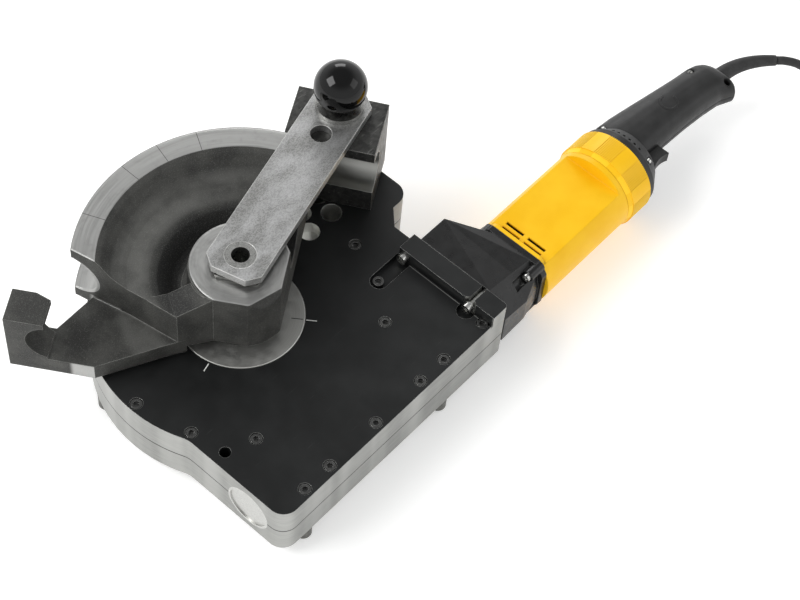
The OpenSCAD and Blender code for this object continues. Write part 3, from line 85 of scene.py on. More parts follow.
def frames_along(path):
    """Tangent, side and up unit vectors at each point of a path, side level with the floor."""
    tangent = np.gradient(path, axis=0)
    tangent /= np.linalg.norm(tangent, axis=1, keepdims=True)
    side = np.cross(tangent, [0.0, 0.0, 1.0])
    side /= np.linalg.norm(side, axis=1, keepdims=True)
    return tangent, side, np.cross(side, tangent)


def tube(name, path, radii, sides=20):
    """P(i, t) = path[i] + r[i] (cos t side[i] + sin t up[i]), with flat ends closed to a point."""
    path = np.asarray(path, float)
    radii = np.asarray(radii, float)
    _, side, up = frames_along(path)
    path = np.concatenate([path[:1], path, path[-1:]])
    radii = np.concatenate([[1e-6], radii, [1e-6]])
    side = np.concatenate([side[:1], side, side[-1:]])
    up = np.concatenate([up[:1], up, up[-1:]])
    t = np.linspace(0, 2 * math.pi, sides, endpoint=False)
    ring = np.cos(t)[None, :, None] * side[:, None] + np.sin(t)[None, :, None] * up[:, None]
    return grid_mesh(name, path[:, None] + radii[:, None, None] * ring, wrap_v=True)


# camera

camera = bpy.data.objects.new("camera", bpy.data.cameras.new("camera"))
bpy.context.scene.collection.objects.link(camera)
camera.data.sensor_width = 36.0
camera.data.lens = 92.91
camera.data.clip_start, camera.data.clip_end = 0.05, 50.0
camera.location = place(-703.3, -688.4, 1493.0)
camera.rotation_mode = "QUATERNION"
camera.rotation_quaternion = Quaternion((0.876124, 0.253459, -0.145707, -0.383320))
bpy.context.scene.camera = camera

# mains lead

CORD_D = 8.5 / MM
CORD_GAP = 0.6 / MM
COIL_C = np.array([477.0, -242.0]) / MM
COIL_IN = 33.0 / MM
COIL_TURNS = 4.25
COIL_START = math.pi
COIL_STEPS = 36
COIL_TAIL = 40.0 / MM
ROUTE = np.array(
    [[398.5, -156.3, 37.6], [406.7, -172.2, 28.5], [408.5, -192.3, 13.8], [406.4, -208.3, 6.9]]
) / MM

BOOT_L, BOOT_R0, BOOT_R1 = 60.0, 8.4, 5.3
BOOT_BEND, BOOT_FALL = 26.0, 3.0
HANDLE_END, BOOT_Y = 532.0, -3.2


def boot_point(t):
    """Middle of the strain relief: straight out, then bending sideways as t^2 and down as t^3."""
    return place(
        HANDLE_END + t * BOOT_L,
        BOOT_Y - MOTOR_Y - BOOT_BEND * t * t,
        AXIS_Z - BOOT_FALL * t ** 3,
    )


def coil_point(a):
    """Spiral in on the lower layer, then out on the upper one: r = r0 + pitch |a - half| / turn."""
    half, pitch = COIL_TURNS * 2 * math.pi, CORD_D + CORD_GAP
    r = COIL_IN + pitch * abs(a - half) / (2 * math.pi)
    up = min(max((a - half) / math.pi + 0.5, 0.0), 1.0)
    t = COIL_START + a
    return [COIL_C[0] + r * math.cos(t), COIL_C[1] + r * math.sin(t), CORD_D / 2 + pitch * up]


def curve_through(points, steps):
    """Catmull-Rom curve through the points, with so many steps to each stretch."""
    p = [points[0], *points, points[-1]]
    out = []
    for a, b, c, d in zip(p, p[1:], p[2:], p[3:]):
        for t in np.arange(steps) / steps:
            out.append(
                0.5 * (2 * b + (c - a) * t + (2 * a - 5 * b + 4 * c - d) * t ** 2
                       + (3 * b - a - 3 * c + d) * t ** 3)
            )
    return np.array([*out, points[-1]])


AHEAD = np.array([0.0, 1.0, 0.0])
coil_angles = np.linspace(0, 4 * math.pi * COIL_TURNS, int(2 * COIL_TURNS * COIL_STEPS) + 1)
coil = np.array([coil_point(a) for a in coil_angles])
coil_head = coil[0] + CORD_D * AHEAD
coil_tail = coil[-1] + COIL_TAIL * AHEAD
cord_exit = np.array(boot_point(1.0))
boot_way = np.array(boot_point(1.0) - boot_point(0.95))
boot_way /= np.linalg.norm(boot_way)
lead = [cord_exit + CORD_D * boot_way, *ROUTE, coil_head + CORD_D * AHEAD]
cord_path = np.concatenate(
    [[cord_exit], curve_through(lead, 3), [coil_head], coil,
     [coil_tail * 2 / 3 + coil[-1] / 3, coil_tail]]
)

mains_cord = tube("mains_cord", cord_path, np.full(len(cord_path), CORD_D / 2), sides=16)
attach(mains_cord, "housing")

# strap round the stacked turns, on the coil's side that faces away from both of its ends
TIE_W, TIE_T, TIE_CORNER = 16.0 / MM, 1.2 / MM, 4.6 / MM
TIE_MID = np.array([51.2, 9.6]) / MM
TIE_HALF = np.array([17.6, 8.3]) / MM
TIE_STEP, TIE_RISE = 0.8 / MM, 4.0 / MM


def coil_tie(name):
    """Strap that walks a rounded box about the turns and laps over its own outer side.

    Line(t) = corner (cos t, sin t) + sign(cos t, sin t) (half - corner), by length. Past one
    round it lies a thickness further out, and its section is a flat box with cut corners.
    """
    # starts just below the outer side, so that nothing is doubled under the turns
    turn = np.linspace(-0.001, 4 * math.pi - 0.001, 481)
    way = np.stack([np.cos(turn), np.sin(turn)], -1)
    line = TIE_CORNER * way + np.sign(way) * (TIE_HALF - TIE_CORNER)
    run = np.r_[0.0, np.cumsum(np.linalg.norm(np.diff(line, axis=0), axis=1))]
    once = run[-1] / 2
    straight = TIE_HALF - TIE_CORNER
    lap = 2 * straight[1] + TIE_CORNER * math.pi / 2 + straight[0]
    at = np.arange(0.0, once + lap, TIE_STEP)
    line = np.stack([np.interp(at, run, line[:, k]) for k in (0, 1)], -1)
    way = np.stack([np.interp(at, run, way[:, k]) for k in (0, 1)], -1)
    line = line + way * TIE_T * np.clip((at - once) / TIE_RISE + 1, 0, 1)[:, None]
    half, cut = TIE_W / 2, TIE_T / 4
    across = np.array([-half, cut - half, half - cut, half, half, half - cut, cut - half, -half])
    out = np.array([cut, 0, 0, cut, TIE_T - cut, TIE_T, TIE_T, TIE_T - cut])
    flat = line[:, None] + way[:, None] * out[None, :, None]
    points = np.stack([
        COIL_C[0] + np.broadcast_to(across, flat.shape[:2]),
        COIL_C[1] + TIE_MID[0] + flat[..., 0], TIE_MID[1] + flat[..., 1],
    ], -1)
    ends = [np.broadcast_to(points[k].mean(0), points[k].shape)[None] for k in (0, -1)]
    return grid_mesh(name, np.concatenate([ends[0], points, ends[1]]), wrap_v=True, smooth=False)


cord_tie = coil_tie("cord_tie")
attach(cord_tie, "housing")
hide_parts("cord", "cord_coil")

# the sleeve starts inside the end of the handle
boot_t = np.linspace(0, 1, 33)
strain_sleeve = tube(
    "strain_sleeve",
    [boot_point(t) for t in np.concatenate([[-0.18], boot_t])],
    np.concatenate([[BOOT_R0], BOOT_R0 + (BOOT_R1 - BOOT_R0) * boot_t]) / MM,
    sides=28,
)
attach(strain_sleeve, "housing")
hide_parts("strain_relief")

# material nodes


def lin(code):
    """sRGB hex as linear RGBA: c / 12.92 below 0.04045, else ((c + 0.055) / 1.055) ** 2.4."""
    c = [int(code[i:i + 2], 16) / 255 for i in (1, 3, 5)]
    return (*[v / 12.92 if v < 0.04045 else ((v + 0.055) / 1.055) ** 2.4 for v in c], 1.0)


# options that many nodes share: a ramp with soft ends, and a mix of two colours
EASED = {"interpolation_type": "SMOOTHSTEP"}
COLOURS = {"data_type": "RGBA", "out": 2}


class Nodes:
    """Node tree, with the one function that adds to it."""

    def __init__(self, tree):
        self.tree = tree
        tree.nodes.clear()

    def add(self, kind, inputs=(), out=0, **settings):
        """Adds a node and gives one of its outputs, or the node itself where out is None.

        inputs are values to set or sockets to link, in the node's order or by name or number;
        settings are its options.
        """
        n = self.tree.nodes.new("ShaderNode" + kind)
        for key, value in settings.items():
            setattr(n, key, value)
        for key, value in inputs.items() if isinstance(inputs, dict) else enumerate(inputs):
            if isinstance(value, bpy.types.NodeSocket):
                self.tree.links.new(value, n.inputs[key])
            else:
                n.inputs[key].default_value = value
        return n if out is None else n.outputs[out]


class Paint(Nodes):
    """Node tree of one material. Patterns are sized in real millimetres of the machine."""

    def __init__(self, name):
        self.material = bpy.data.materials.new(name)
        self.material.use_nodes = True
        super().__init__(self.material.node_tree)
        at = self.add("TexCoord", out="Object")
        origin = (MID_X, MID_Y, -STAND_H)
        self.mm = self.add("Mapping", {"Vector": at, "Location": origin, "Scale": (MM, MM, MM)})

    def xyz(self):
        """The three millimetre coordinates."""
        return self.add("SeparateXYZ", (self.mm,), out=None).outputs[:3]

    def facing(self):
        """Components of the surface's own normal."""
        return self.add("SeparateXYZ", (self.add("TexCoord", out="Normal"),), out=None).outputs[:3]

    def dot(self, a, b):
        """a0 b0 + a1 b1, for two level directions or places."""
        products = [self.add("Math", pair, operation="MULTIPLY") for pair in zip(a, b)]
        return self.add("Math", products, operation="ADD")

    def length(self, a, b):
        """Square root of a squared plus b squared."""
        return self.add("Math", (self.dot((a, b), (a, b)),), operation="SQRT")

    def polar(self, cx=0.0, cy=0.0):
        """Distance and angle (radians) about an upright axis."""
        x, y, _ = self.xyz()
        x = self.add("Math", (x, cx), operation="SUBTRACT")
        y = self.add("Math", (y, cy), operation="SUBTRACT")
        return self.length(x, y), self.add("Math", (y, x), operation="ARCTAN2")

    def spoke(self, r, turn, angle):
        """Distances across and along a line from the axis, at an angle in degrees."""
        off = self.add("Math", (turn, math.radians(angle)), operation="SUBTRACT")
        parts = [self.add("Math", (off,), operation=part) for part in ("SINE", "COSINE")]
        return [self.add("Math", (r, part), operation="MULTIPLY") for part in parts]

    def band(self, value, lo, hi, soft):
        """1 between lo and hi, falling to 0 over soft on both sides."""
        up = self.add("MapRange", (value, lo - soft, lo), **EASED)
        down = self.add("MapRange", (value, hi, hi + soft, 1.0, 0.0), **EASED)
        return self.add("Math", (up, down), operation="MULTIPLY")

    def patch(self, a, b):
        """1 inside a rectangle; a and b each give band's value, two ends and softness."""
        return self.add("Math", (self.band(*a), self.band(*b)), operation="MULTIPLY")

    def all_of(self, first, *others):
        """1 where every mask is 1: their product, taken one after another."""
        for mask in others:
            first = self.add("Math", (first, mask), operation="MULTIPLY")
        return first

    def any_of(self, first, *others):
        """1 where any mask is 1: the largest, taken one after another."""
        for mask in others:
            first = self.add("Math", (first, mask), operation="MAXIMUM")
        return first

    def two_tone(self, pattern, dark, light, lo=0.3, hi=0.7):
        """Colour that goes from dark to light as the pattern goes from lo to hi."""
        share = self.add("MapRange", (pattern, lo, hi), **EASED)
        return self.add("Mix", {0: share, 6: lin(dark), 7: lin(light)}, **COLOURS)

    def layers(self, tone, *coats):
        """Colours laid over each other in turn, each where its own mask is 1."""
        for mask, code in coats:
            tone = self.add("Mix", {0: mask, 6: tone, 7: lin(code)}, **COLOURS)
        return tone

    def noise(self, size, detail=3.0, stretch=(1.0, 1.0, 1.0), turn=0.0, rough=0.55):
        """Noise from 0 to 1 with features of so many millimetres, longer where stretch is more."""
        scale = tuple(1 / s for s in stretch)
        at = self.add("Mapping", {"Vector": self.mm, "Rotation": (0.0, 0.0, turn), "Scale": scale})
        grain = {"Vector": at, "Scale": 1 / size, "Detail": detail, "Roughness": rough}
        return self.add("TexNoise", grain, out="Fac")

    def edge(self, radius, broken=4.0, least=0.35):
        """1 on edges that hands and tools rub, within so many millimetres, broken up by noise."""
        soft = self.add("Bevel", {"Radius": radius / MM}, samples=4)
        flat = self.add("NewGeometry", out="Normal")
        dot = self.add("VectorMath", (soft, flat), out="Value", operation="DOT_PRODUCT")
        worn = self.add("MapRange", (dot, 0.97, 0.86), **EASED)
        patchy = self.add("MapRange", (self.noise(broken), 0.3, 0.6, least, 1.0), **EASED)
        return self.add("Math", (worn, patchy), operation="MULTIPLY")

    def seam(self, z):
        """1 along the dark joint between the two halves of the housing."""
        return self.band(z, SEAM_Z - 0.5, SEAM_Z + 0.4, 0.25)

    def painted_sheen(self):
        """Painted reflection: faint upright light and dark stretches laid on a milled wall."""
        broad = self.noise(34.0, detail=2.0, stretch=(1.0, 1.0, 30.0))
        return self.add("MapRange", (broad, 0.36, 0.64, 0.0, 0.45), **EASED)

    def pipe_groove(self, out, z):
        """1 on the wall of the pipe's groove, where out is the distance from the bend's middle."""
        out = self.add("Math", (out, BEND_R), operation="SUBTRACT")
        up = self.add("Math", (z, PIPE_Z), operation="SUBTRACT")
        return self.add("MapRange", (self.length(out, up), *GROOVE_ENDS, 1.0, 0.0), **EASED)

    def shade(self, colour, rough, metal=0.0, height=None, depth=0.0, soft=0.0, **fixed):
        """Ends the tree in one shader; height bumps the surface by depth millimetres.

        With soft, edges catch the light as if rounded over so many millimetres, or it is a
        normal of its own.
        """
        inputs = {"Base Color": colour, "Roughness": rough, "Metallic": metal, **fixed}
        if height is not None:
            bump = {"Height": height, "Distance": depth / MM, "Strength": 1.0}
            if isinstance(soft, bpy.types.NodeSocket):
                bump["Normal"] = soft
            elif soft:
                bump["Normal"] = self.add("Bevel", {"Radius": soft / MM}, samples=6)
            inputs["Normal"] = self.add("Bump", bump)
        self.add("OutputMaterial", (self.add("BsdfPrincipled", inputs),), out=None)
        return self.material


# strength of the clear reflection on coated and moulded surfaces
LOW_SHINE, MID_SHINE, HIGH_SHINE = ({"Specular IOR Level": level} for level in (0.2, 0.3, 0.4))
YELLOW = ("#f0b80c", "#f6c21c")
BLACK = ("#1a1a1a", "#242424")


# materials

# places on the housing's top: pockets, the cut lip of the groove, filler and bolt holes
POCKET_X, POCKET_Y, POCKET_FLOOR = (98.0, 142.9), (-164.0, -54.5), (-6.8, -6.5)
LIP_X, LIP_Y = (139.1, 139.9), (-160.0, -56.5)
FILLER_AT, FILLER_R, HOLE_R = (-107.4, -86.3), (5.6, 6.0), (9.8, 10.2)
# index lines: angle in degrees, then the distances from the axis where each begins and ends
PLATE_LINES = ((-52.7, 57.0, 66.0), (-164.0, 57.6, 66.0))
DISC_LINE = (-52.8, 44.0, 54.0)
# the former's machined faces, and where its dish has painted shade and painted light
RIM_R, RIM_Z, HUB_R, HUB_Z = (120.0, 141.4), (79.8, 80.1), (58.0, 60.0), (75.7, 76.2)
WALL_START, WALL_END = (140.9, 141.1), (142.0, 142.2)
ARM_FRONT, ARM_TOP = (100.0, 122.0), (26.0, 27.0)
DISH_Z, DISH_PAINTED_SHADE, DISH_PAINTED_LIGHT = (20.0, 24.0), (58.0, 66.0), (82.0, 100.0)
# raised ring on the grip: middle, inner and outer radius, opening in degrees, and height
GRIP_RING_AT, GRIP_RING_R, GRIP_RING_GAP = (458.4, -119.0), (7.6, 9.2), (10.0, 75.0)
GRIP_RING_H = 1.6


def plain(name, dark, light, size, rough, metal, grain, depth, wear_and_highlight=None, soft=0.5, **fixed):
    """Two-tone surface: tones by noise of one size, bump of one depth by a finer grain.

    wear_and_highlight gives the colour, width, roughness and metallic value of rubbed edges; on the
    black screws this is partly real wear and partly a painted highlight on the socket rims.
    """
    p = Paint(name)
    tone = p.two_tone(p.noise(size), dark, light)
    shine = p.add("MapRange", (p.noise(size * 0.4, detail=4.0), 0.3, 0.7, *rough), **EASED)
    if wear_and_highlight:
        rubbed_and_highlight_colour, width, rubbed_rough, rubbed_metal = wear_and_highlight
        worn = p.edge(width)
        tone = p.layers(tone, (worn, rubbed_and_highlight_colour))
        shine = p.add("Mix", {0: worn, 2: shine, 3: rubbed_rough})
        metal = p.add("Mix", {0: worn, 2: metal, 3: rubbed_metal})
    return p.shade(tone, shine, metal, p.noise(grain, detail=2.0), depth, soft, **fixed)


def turned_steel(name, dark, light, rough):
    """Ground or turned steel with fine marks and rubbed edges."""
    p = Paint(name)
    fine = p.noise(0.8, detail=4.0)
    tone = p.layers(p.two_tone(fine, dark, light), (p.edge(0.5, broken=3.0), "#e2e2de"))
    shine = p.add("MapRange", (p.noise(4.0), 0.3, 0.7, *rough), **EASED)
    return p.shade(tone, shine, metal=1.0, height=fine, depth=0.006)


def coated_plate():
    """Black satin coating on the housing's top face, bare machined aluminium on its sides."""
    p = Paint("black_coated_aluminium")
    x, y, z = p.xyz()
    _, _, up = p.facing()
    level = p.add(
        "Math",
        (p.add("MapRange", (up, 0.5, 0.6), **EASED), p.add("MapRange", (z, -1.2, -0.8), **EASED)),
        operation="MULTIPLY",
    )
    # the pockets and the groove at the raised block's foot are coloured black all over
    pocket = p.patch((x, *POCKET_X, 0.4), (y, *POCKET_Y, 0.4))
    pocket = p.add(
        "Math", (pocket, p.add("MapRange", (z, *POCKET_FLOOR), **EASED)), operation="MULTIPLY"
    )
    # black out to about 6 mm round the filler
    filler = p.add("MapRange", (p.polar(*FILLER_AT)[0], *FILLER_R, 1.0, 0.0), **EASED)
    top = p.any_of(level, pocket, filler)
    # an index line on each side of the driver's disc
    r, turn = p.polar()
    marks = []
    for angle, start, end in PLATE_LINES:
        side, ahead = p.spoke(r, turn, angle)
        marks.append(p.patch((side, -0.35, 0.35, 0.15), (ahead, start, end, 0.2)))
    scratch = p.noise(0.5, detail=2.0, stretch=(70.0, 1.0, 1.0), turn=0.7)
    scratch = p.add("MapRange", (scratch, 0.7, 0.78, 0.0, 0.25), **EASED)
    black = p.two_tone(p.noise(60.0), "#131414", "#1c1d1d", 0.35, 0.65)
    black = p.layers(black, (scratch, "#5c5e5c"), (p.any_of(*marks), "#d9dad6"))
    streak = p.noise(1.2, stretch=(18.0, 18.0, 1.0))
    # painted light: the walls of the bolt holes, which the lamps hardly reach, are painted near
    # white
    painted_light_walls = []
    for hole in HOLES:
        painted_light_walls.append(p.add("MapRange", (p.polar(*hole)[0], *HOLE_R, 1.0, 0.0), **EASED))
    bare = p.two_tone(streak, "#868784", "#a2a29f")
    # painted reflection: upright light stretches on the bare sides
    bare = p.layers(
        bare, (p.painted_sheen(), "#c4c4c1"), (p.seam(z), "#0a0a0a"), (p.any_of(*painted_light_walls), "#f2f2ee")
    )
    worn = p.add(
        "Math",
        (p.edge(0.7, broken=9.0, least=0.6), p.add("MapRange", (z, -2.0, -0.5), **EASED)),
        operation="MULTIPLY",
    )
    # the coating is cut through along the groove's edge at the raised block's foot
    lip = p.patch((x, *LIP_X, 0.15), (y, *LIP_Y, 0.5))
    lip = p.add(
        "Math", (lip, p.add("MapRange", (z, -1.0, -0.6, 0.0, 0.8), **EASED)), operation="MULTIPLY"
    )
    worn = p.add("Math", (p.any_of(worn, lip), top), operation="MULTIPLY")
    cover = p.add("Math", (top, worn), operation="SUBTRACT")
    bare_rough = p.add("MapRange", (streak, 0.3, 0.7, 0.34, 0.46), **EASED)
    black_rough = p.add("MapRange", (p.noise(14.0), 0.3, 0.7, 0.36, 0.46), **EASED)
    return p.shade(
        p.add("Mix", {0: cover, 6: bare, 7: black}, **COLOURS),
        p.add("Mix", {0: cover, 2: bare_rough, 3: black_rough}),
        metal=p.add("Math", (1.0, cover), operation="SUBTRACT"),
        height=p.noise(0.7, detail=2.0),
        depth=0.012,
        soft=0.5,
        **MID_SHINE,
    )


def bare_aluminium():
    """Machined aluminium with level cutter streaks."""
    p = Paint("bare_aluminium")
    streak = p.noise(1.2, stretch=(18.0, 18.0, 1.0))
    cloud = p.add("MapRange", (p.noise(30.0), 0.45, 0.8, 0.0, 0.25), **EASED)
    tone = p.two_tone(streak, "#828380", "#9e9e9b")
    # painted reflection: upright light stretches on the bare walls
    tone = p.layers(tone, (cloud, "#7a7b78"), (p.painted_sheen(), "#c4c4c1"))
    worn = p.edge(0.6, broken=6.0)
    tone = p.layers(tone, (worn, "#dcdcd8"), (p.seam(p.xyz()[2]), "#0a0a0a"))
    shine = p.add("MapRange", (streak, 0.3, 0.7, 0.32, 0.46), **EASED)
    return p.shade(tone, shine, metal=1.0, height=streak, depth=0.01, soft=0.6)


def former_casting():
    """Dark speckled casting whose rim, hub, groove and hook face are machined bright."""
    p = Paint("grey_casting")
    x, y, z = p.xyz()
    nx, ny, nz = p.facing()
    r, turn = p.polar()
    level = p.add("MapRange", (nz, 0.97, 0.99), **EASED)
    rim = p.all_of(level, p.band(r, *RIM_R, 0.3), p.add("MapRange", (z, *RIM_Z), **EASED))
    hub = p.all_of(
        level, p.band(z, *HUB_Z, 0.15), p.add("MapRange", (r, *HUB_R, 1.0, 0.0), **EASED)
    )
    # the wall is bright only where it faces straight out, so it draws no line across the arm
    outward = p.add("Math", (p.dot((nx, ny), (x, y)), r), operation="DIVIDE")
    upright = p.add(
        "MapRange", (p.add("Math", (nz,), operation="ABSOLUTE"), 0.1, 0.2, 1.0, 0.0), **EASED
    )
    outer = p.all_of(
        p.add("MapRange", (r, *WALL_START), **EASED),
        upright,
        p.add("MapRange", (r, *WALL_END, 1.0, 0.0), **EASED),
    )
    wall = p.add(
        "Math", (outer, p.add("MapRange", (outward, 0.8, 0.9), **EASED)), operation="MULTIPLY"
    )
    # the arm's front is machined beside the pipe groove
    c, s = math.cos(FORMER_TURN), math.sin(FORMER_TURN)
    front = p.add("MapRange", (p.dot((nx, ny), (-c, -s)), 0.9, 0.95), **EASED)
    along = p.band(p.dot((x, y), (-s, c)), *ARM_FRONT, 5.0)
    front = p.all_of(front, along, p.add("MapRange", (z, *ARM_TOP, 1.0, 0.0), **EASED))
    bright = p.any_of(rim, hub, p.pipe_groove(r, z), wall, front)
    # radial graduation lines across the front half of the rim
    lines = [p.band(p.spoke(r, turn, angle)[0], -0.16, 0.16, 0.12) for angle in GRADUATIONS]
    lines = p.all_of(p.any_of(*lines), rim, p.add("MapRange", (y, 0.0, 1.0), **EASED))
    # marks of the turning, a little uneven round the circle
    at = p.add("CombineXYZ", {0: r, 1: p.add("Math", (turn, 3.0), operation="MULTIPLY"), 2: z})
    rings = p.add("TexNoise", {"Vector": at, "Scale": 0.9, "Detail": 3.0}, out="Fac")
    stain = p.add("MapRange", (p.noise(9.0, detail=5.0), 0.5, 0.8, 0.0, 0.35), **EASED)
    steel = p.layers(
        p.two_tone(rings, "#a3a3a1", "#adadab"), (stain, "#80807e"), (lines, "#3a3a38")
    )
    # painted shade in the dish round the hub, and painted light half-way out
    dish = p.add(
        "Math",
        (p.add("MapRange", (z, *DISH_Z), **EASED), p.add("MapRange", (nz, 0.2, 0.5), **EASED)),
        operation="MULTIPLY",
    )
    inner = p.add("Math", (dish, p.band(r, *DISH_PAINTED_SHADE, 12.0)), operation="MULTIPLY")
    patchy = p.add("MapRange", (p.noise(34.0), 0.3, 0.6, 0.2, 0.8), **EASED)
    middle = p.all_of(dish, p.band(r, *DISH_PAINTED_LIGHT, 10.0), patchy)
    grit = p.noise(0.9, rough=0.7)
    skin = p.two_tone(p.noise(26.0), "#2e2e2c", "#42423f", 0.35, 0.65)
    skin = p.layers(skin, (inner, "#1d1d1c"), (middle, "#5a5a57"))
    speck = p.add("MapRange", (grit, 0.52, 0.7, 0.0, 0.42), **EASED)
    skin = p.layers(skin, (speck, "#6c6c68"), (p.edge(1.0, broken=5.0, least=0.5), "#8e8e8a"))
    skin_rough = p.add("MapRange", (grit, 0.4, 0.7, 0.66, 0.5), **EASED)
    steel_rough = p.add("MapRange", (rings, 0.3, 0.7, 0.34, 0.46), **EASED)
    # the machined parts keep hardly any of the casting's grain
    cast = p.add(
        "Math", (1.0, p.add("Math", (bright, 0.93), operation="MULTIPLY")), operation="SUBTRACT"
    )
    return p.shade(
        p.add("Mix", {0: bright, 6: skin, 7: steel}, **COLOURS),
        p.add("Mix", {0: bright, 2: skin_rough, 3: steel_rough}),
        metal=p.add("Mix", {0: bright, 2: 0.35, 3: 1.0}),
        height=p.add("Math", (grit, cast), operation="MULTIPLY"),
        depth=0.28,
        soft=3.0,
    )


def slide_steel():
    """Dark oiled block with rubbed edges; the pipe has polished its groove."""
    p = Paint("block_steel")
    x, y, z = p.xyz()
    groove = p.pipe_groove(p.dot((x, y), (math.cos(SLIDE_TURN), math.sin(SLIDE_TURN))), z)
    mottle = p.noise(7.0, detail=5.0)
    scuff = p.noise(2.2, detail=5.0, stretch=(5.0, 1.0, 1.0), turn=0.5)
    scuff = p.add("MapRange", (scuff, 0.56, 0.74, 0.0, 0.6), **EASED)
    tone = p.two_tone(mottle, "#2f2f2e", "#474745", 0.35, 0.7)
    tone = p.layers(tone, (scuff, "#777774"), (p.edge(1.1, least=0.5), "#9a9a96"))
    tone = p.layers(tone, (groove, "#9c9c98"))
    shine = p.add(
        "Mix", {0: groove, 2: p.add("MapRange", (mottle, 0.3, 0.7, 0.5, 0.36), **EASED), 3: 0.32}
    )
    metal = p.add("Mix", {0: groove, 2: 0.65, 3: 1.0})
    return p.shade(tone, shine, metal, height=p.noise(0.9), depth=0.05, soft=0.8)


def flat_bar():
    """Mill-finished flat steel, mottled and scratched, rubbed bright at its edges."""
    p = Paint("flat_steel")
    cloud = p.noise(17.0, detail=2.0, stretch=(2.2, 1.0, 1.0), turn=-BAR_TURN)
    fine = p.noise(1.0, detail=4.0, stretch=(1.6, 1.0, 1.0), turn=-BAR_TURN, rough=0.8)
    scratch = p.noise(0.45, detail=2.0, stretch=(60.0, 1.0, 1.0), turn=-BAR_TURN)
    scratch = p.add("MapRange", (scratch, 0.66, 0.76, 0.0, 0.6), **EASED)
    speck = p.add(
        "Math",
        (
            p.add("MapRange", (fine, 0.46, 0.56), **EASED),
            p.add("MapRange", (cloud, 0.35, 0.65, 0.75, 0.4), **EASED),
        ),
        operation="MULTIPLY",
    )
    tone = p.two_tone(cloud, "#a3a3a1", "#bababa")
    tone = p.layers(tone, (speck, "#7a7a78"), (scratch, "#d5d5d0"))
    tone = p.layers(tone, (p.edge(1.3, broken=8.0, least=0.7), "#e6e6e2"))
    shine = p.add("MapRange", (cloud, 0.3, 0.7, 0.36, 0.46), **EASED)
    return p.shade(tone, shine, metal=0.9, height=fine, depth=0.03, soft=0.9)


def turned_disc():
    """Light turned face of the driver's disc, with its dark index line."""
    p = Paint("turned_steel_disc")
    r, turn = p.polar()
    at = p.add("CombineXYZ", {0: r})
    rings = p.add("TexNoise", {"Vector": at, "Scale": 2.0, "Detail": 3.0}, out="Fac")
    angle, start, end = DISC_LINE
    side, ahead = p.spoke(r, turn, angle)
    line = p.patch((side, -0.3, 0.3, 0.15), (ahead, start, end, 0.2))
    tone = p.layers(p.two_tone(rings, "#b0b0ac", "#c6c6c2"), (line, "#2b2b2a"))
    shine = p.add("MapRange", (p.noise(8.0), 0.3, 0.7, 0.36, 0.48), **EASED)
    return p.shade(tone, shine, metal=0.9, height=rings, depth=0.006)


def ring_plastic():
    """Yellow plastic of the turned ring, shaded round about the motor's axis."""
    p = Paint("yellow_ring_plastic")
    _, y, z = p.xyz()
    side = p.add("Math", (y, MOTOR_Y), operation="ADD")
    rise = p.add("Math", (z, AXIS_Z), operation="SUBTRACT")
    at = p.add("CombineXYZ", {1: side, 2: rise})
    out = p.add("VectorMath", {0: at}, operation="NORMALIZE")
    flat = p.add("TexCoord", out="Normal")
    nx = p.facing()[0]
    across = p.add(
        "Math", (1.0, p.add("Math", (nx, nx), operation="MULTIPLY")), operation="SUBTRACT"
    )
    across = p.add("Math", (across,), operation="SQRT")
    out = p.add("VectorMath", {0: out, "Scale": across}, operation="SCALE")
    ahead = p.add("CombineXYZ", {0: nx})
    turned = p.add("VectorMath", {0: out, 1: ahead}, operation="ADD")
    # the grooves' own walls keep a part of their normals
    along = p.add("VectorMath", {0: flat, 1: turned}, out="Value", operation="DOT_PRODUCT")
    round_part = p.add("MapRange", (along, 0.85, 0.95, 0.6, 1.0), **EASED)
    normal = p.add("Mix", {0: round_part, 4: flat, 5: turned}, out=1, data_type="VECTOR")
    spaces = {"vector_type": "NORMAL", "convert_from": "OBJECT", "convert_to": "WORLD"}
    normal = p.add("VectorTransform", {0: normal}, **spaces)
    # painted light: the eight groups of grooves are a little lighter in tone, to offset the shade
    # in their grooves
    turn = p.add(
        "Math", (p.add("Math", (rise, side), operation="ARCTAN2"), GROUP_TURN), operation="ADD"
    )
    turn = p.add("Math", (turn, math.pi / 4), operation="MODULO")
    off = p.add(
        "Math", (p.add("Math", (turn, math.pi / 8), operation="SUBTRACT"),), operation="ABSOLUTE"
    )
    painted_groove_light = p.add("MapRange", (off, 0.212, 0.222, 1.0, 0.0), **EASED)
    tone = p.layers(p.two_tone(p.noise(40.0), *YELLOW), (painted_groove_light, "#fecb28"))
    shine = p.add("MapRange", (p.noise(16.0), 0.3, 0.7, 0.34, 0.42), **EASED)
    return p.shade(tone, shine, height=p.noise(1.4), depth=0.008, soft=normal, **LOW_SHINE)


def grip_plastic():
    """Fine-grained black plastic of the handle, with a raised open ring on its upper side."""
    p = Paint("black_grip_plastic")
    z = p.xyz()[2]
    r, turn = p.polar(*GRIP_RING_AT)
    # open towards the upper side of the grip
    gap = p.band(turn, *map(math.radians, GRIP_RING_GAP), 0.1)
    closed = p.add("Math", (1.0, gap), operation="SUBTRACT")
    ring = p.all_of(
        p.band(r, *GRIP_RING_R, 0.7), p.add("MapRange", (z, AXIS_Z, AXIS_Z + 5.0), **EASED), closed
    )
    # heights in millimetres: the fine grain, and the ring that stands out of it
    fine = p.add("Math", (p.noise(0.45, detail=2.0), 0.03), operation="MULTIPLY")
    height = p.add(
        "Math", (fine, p.add("Math", (ring, GRIP_RING_H), operation="MULTIPLY")), operation="ADD"
    )
    tone = p.two_tone(p.noise(22.0), *BLACK, 0.35, 0.65)
    shine = p.add("MapRange", (p.noise(9.0, detail=4.0), 0.3, 0.7, 0.42, 0.52), **EASED)
    return p.shade(tone, shine, height=height, depth=1.0, soft=6.0, **HIGH_SHINE)


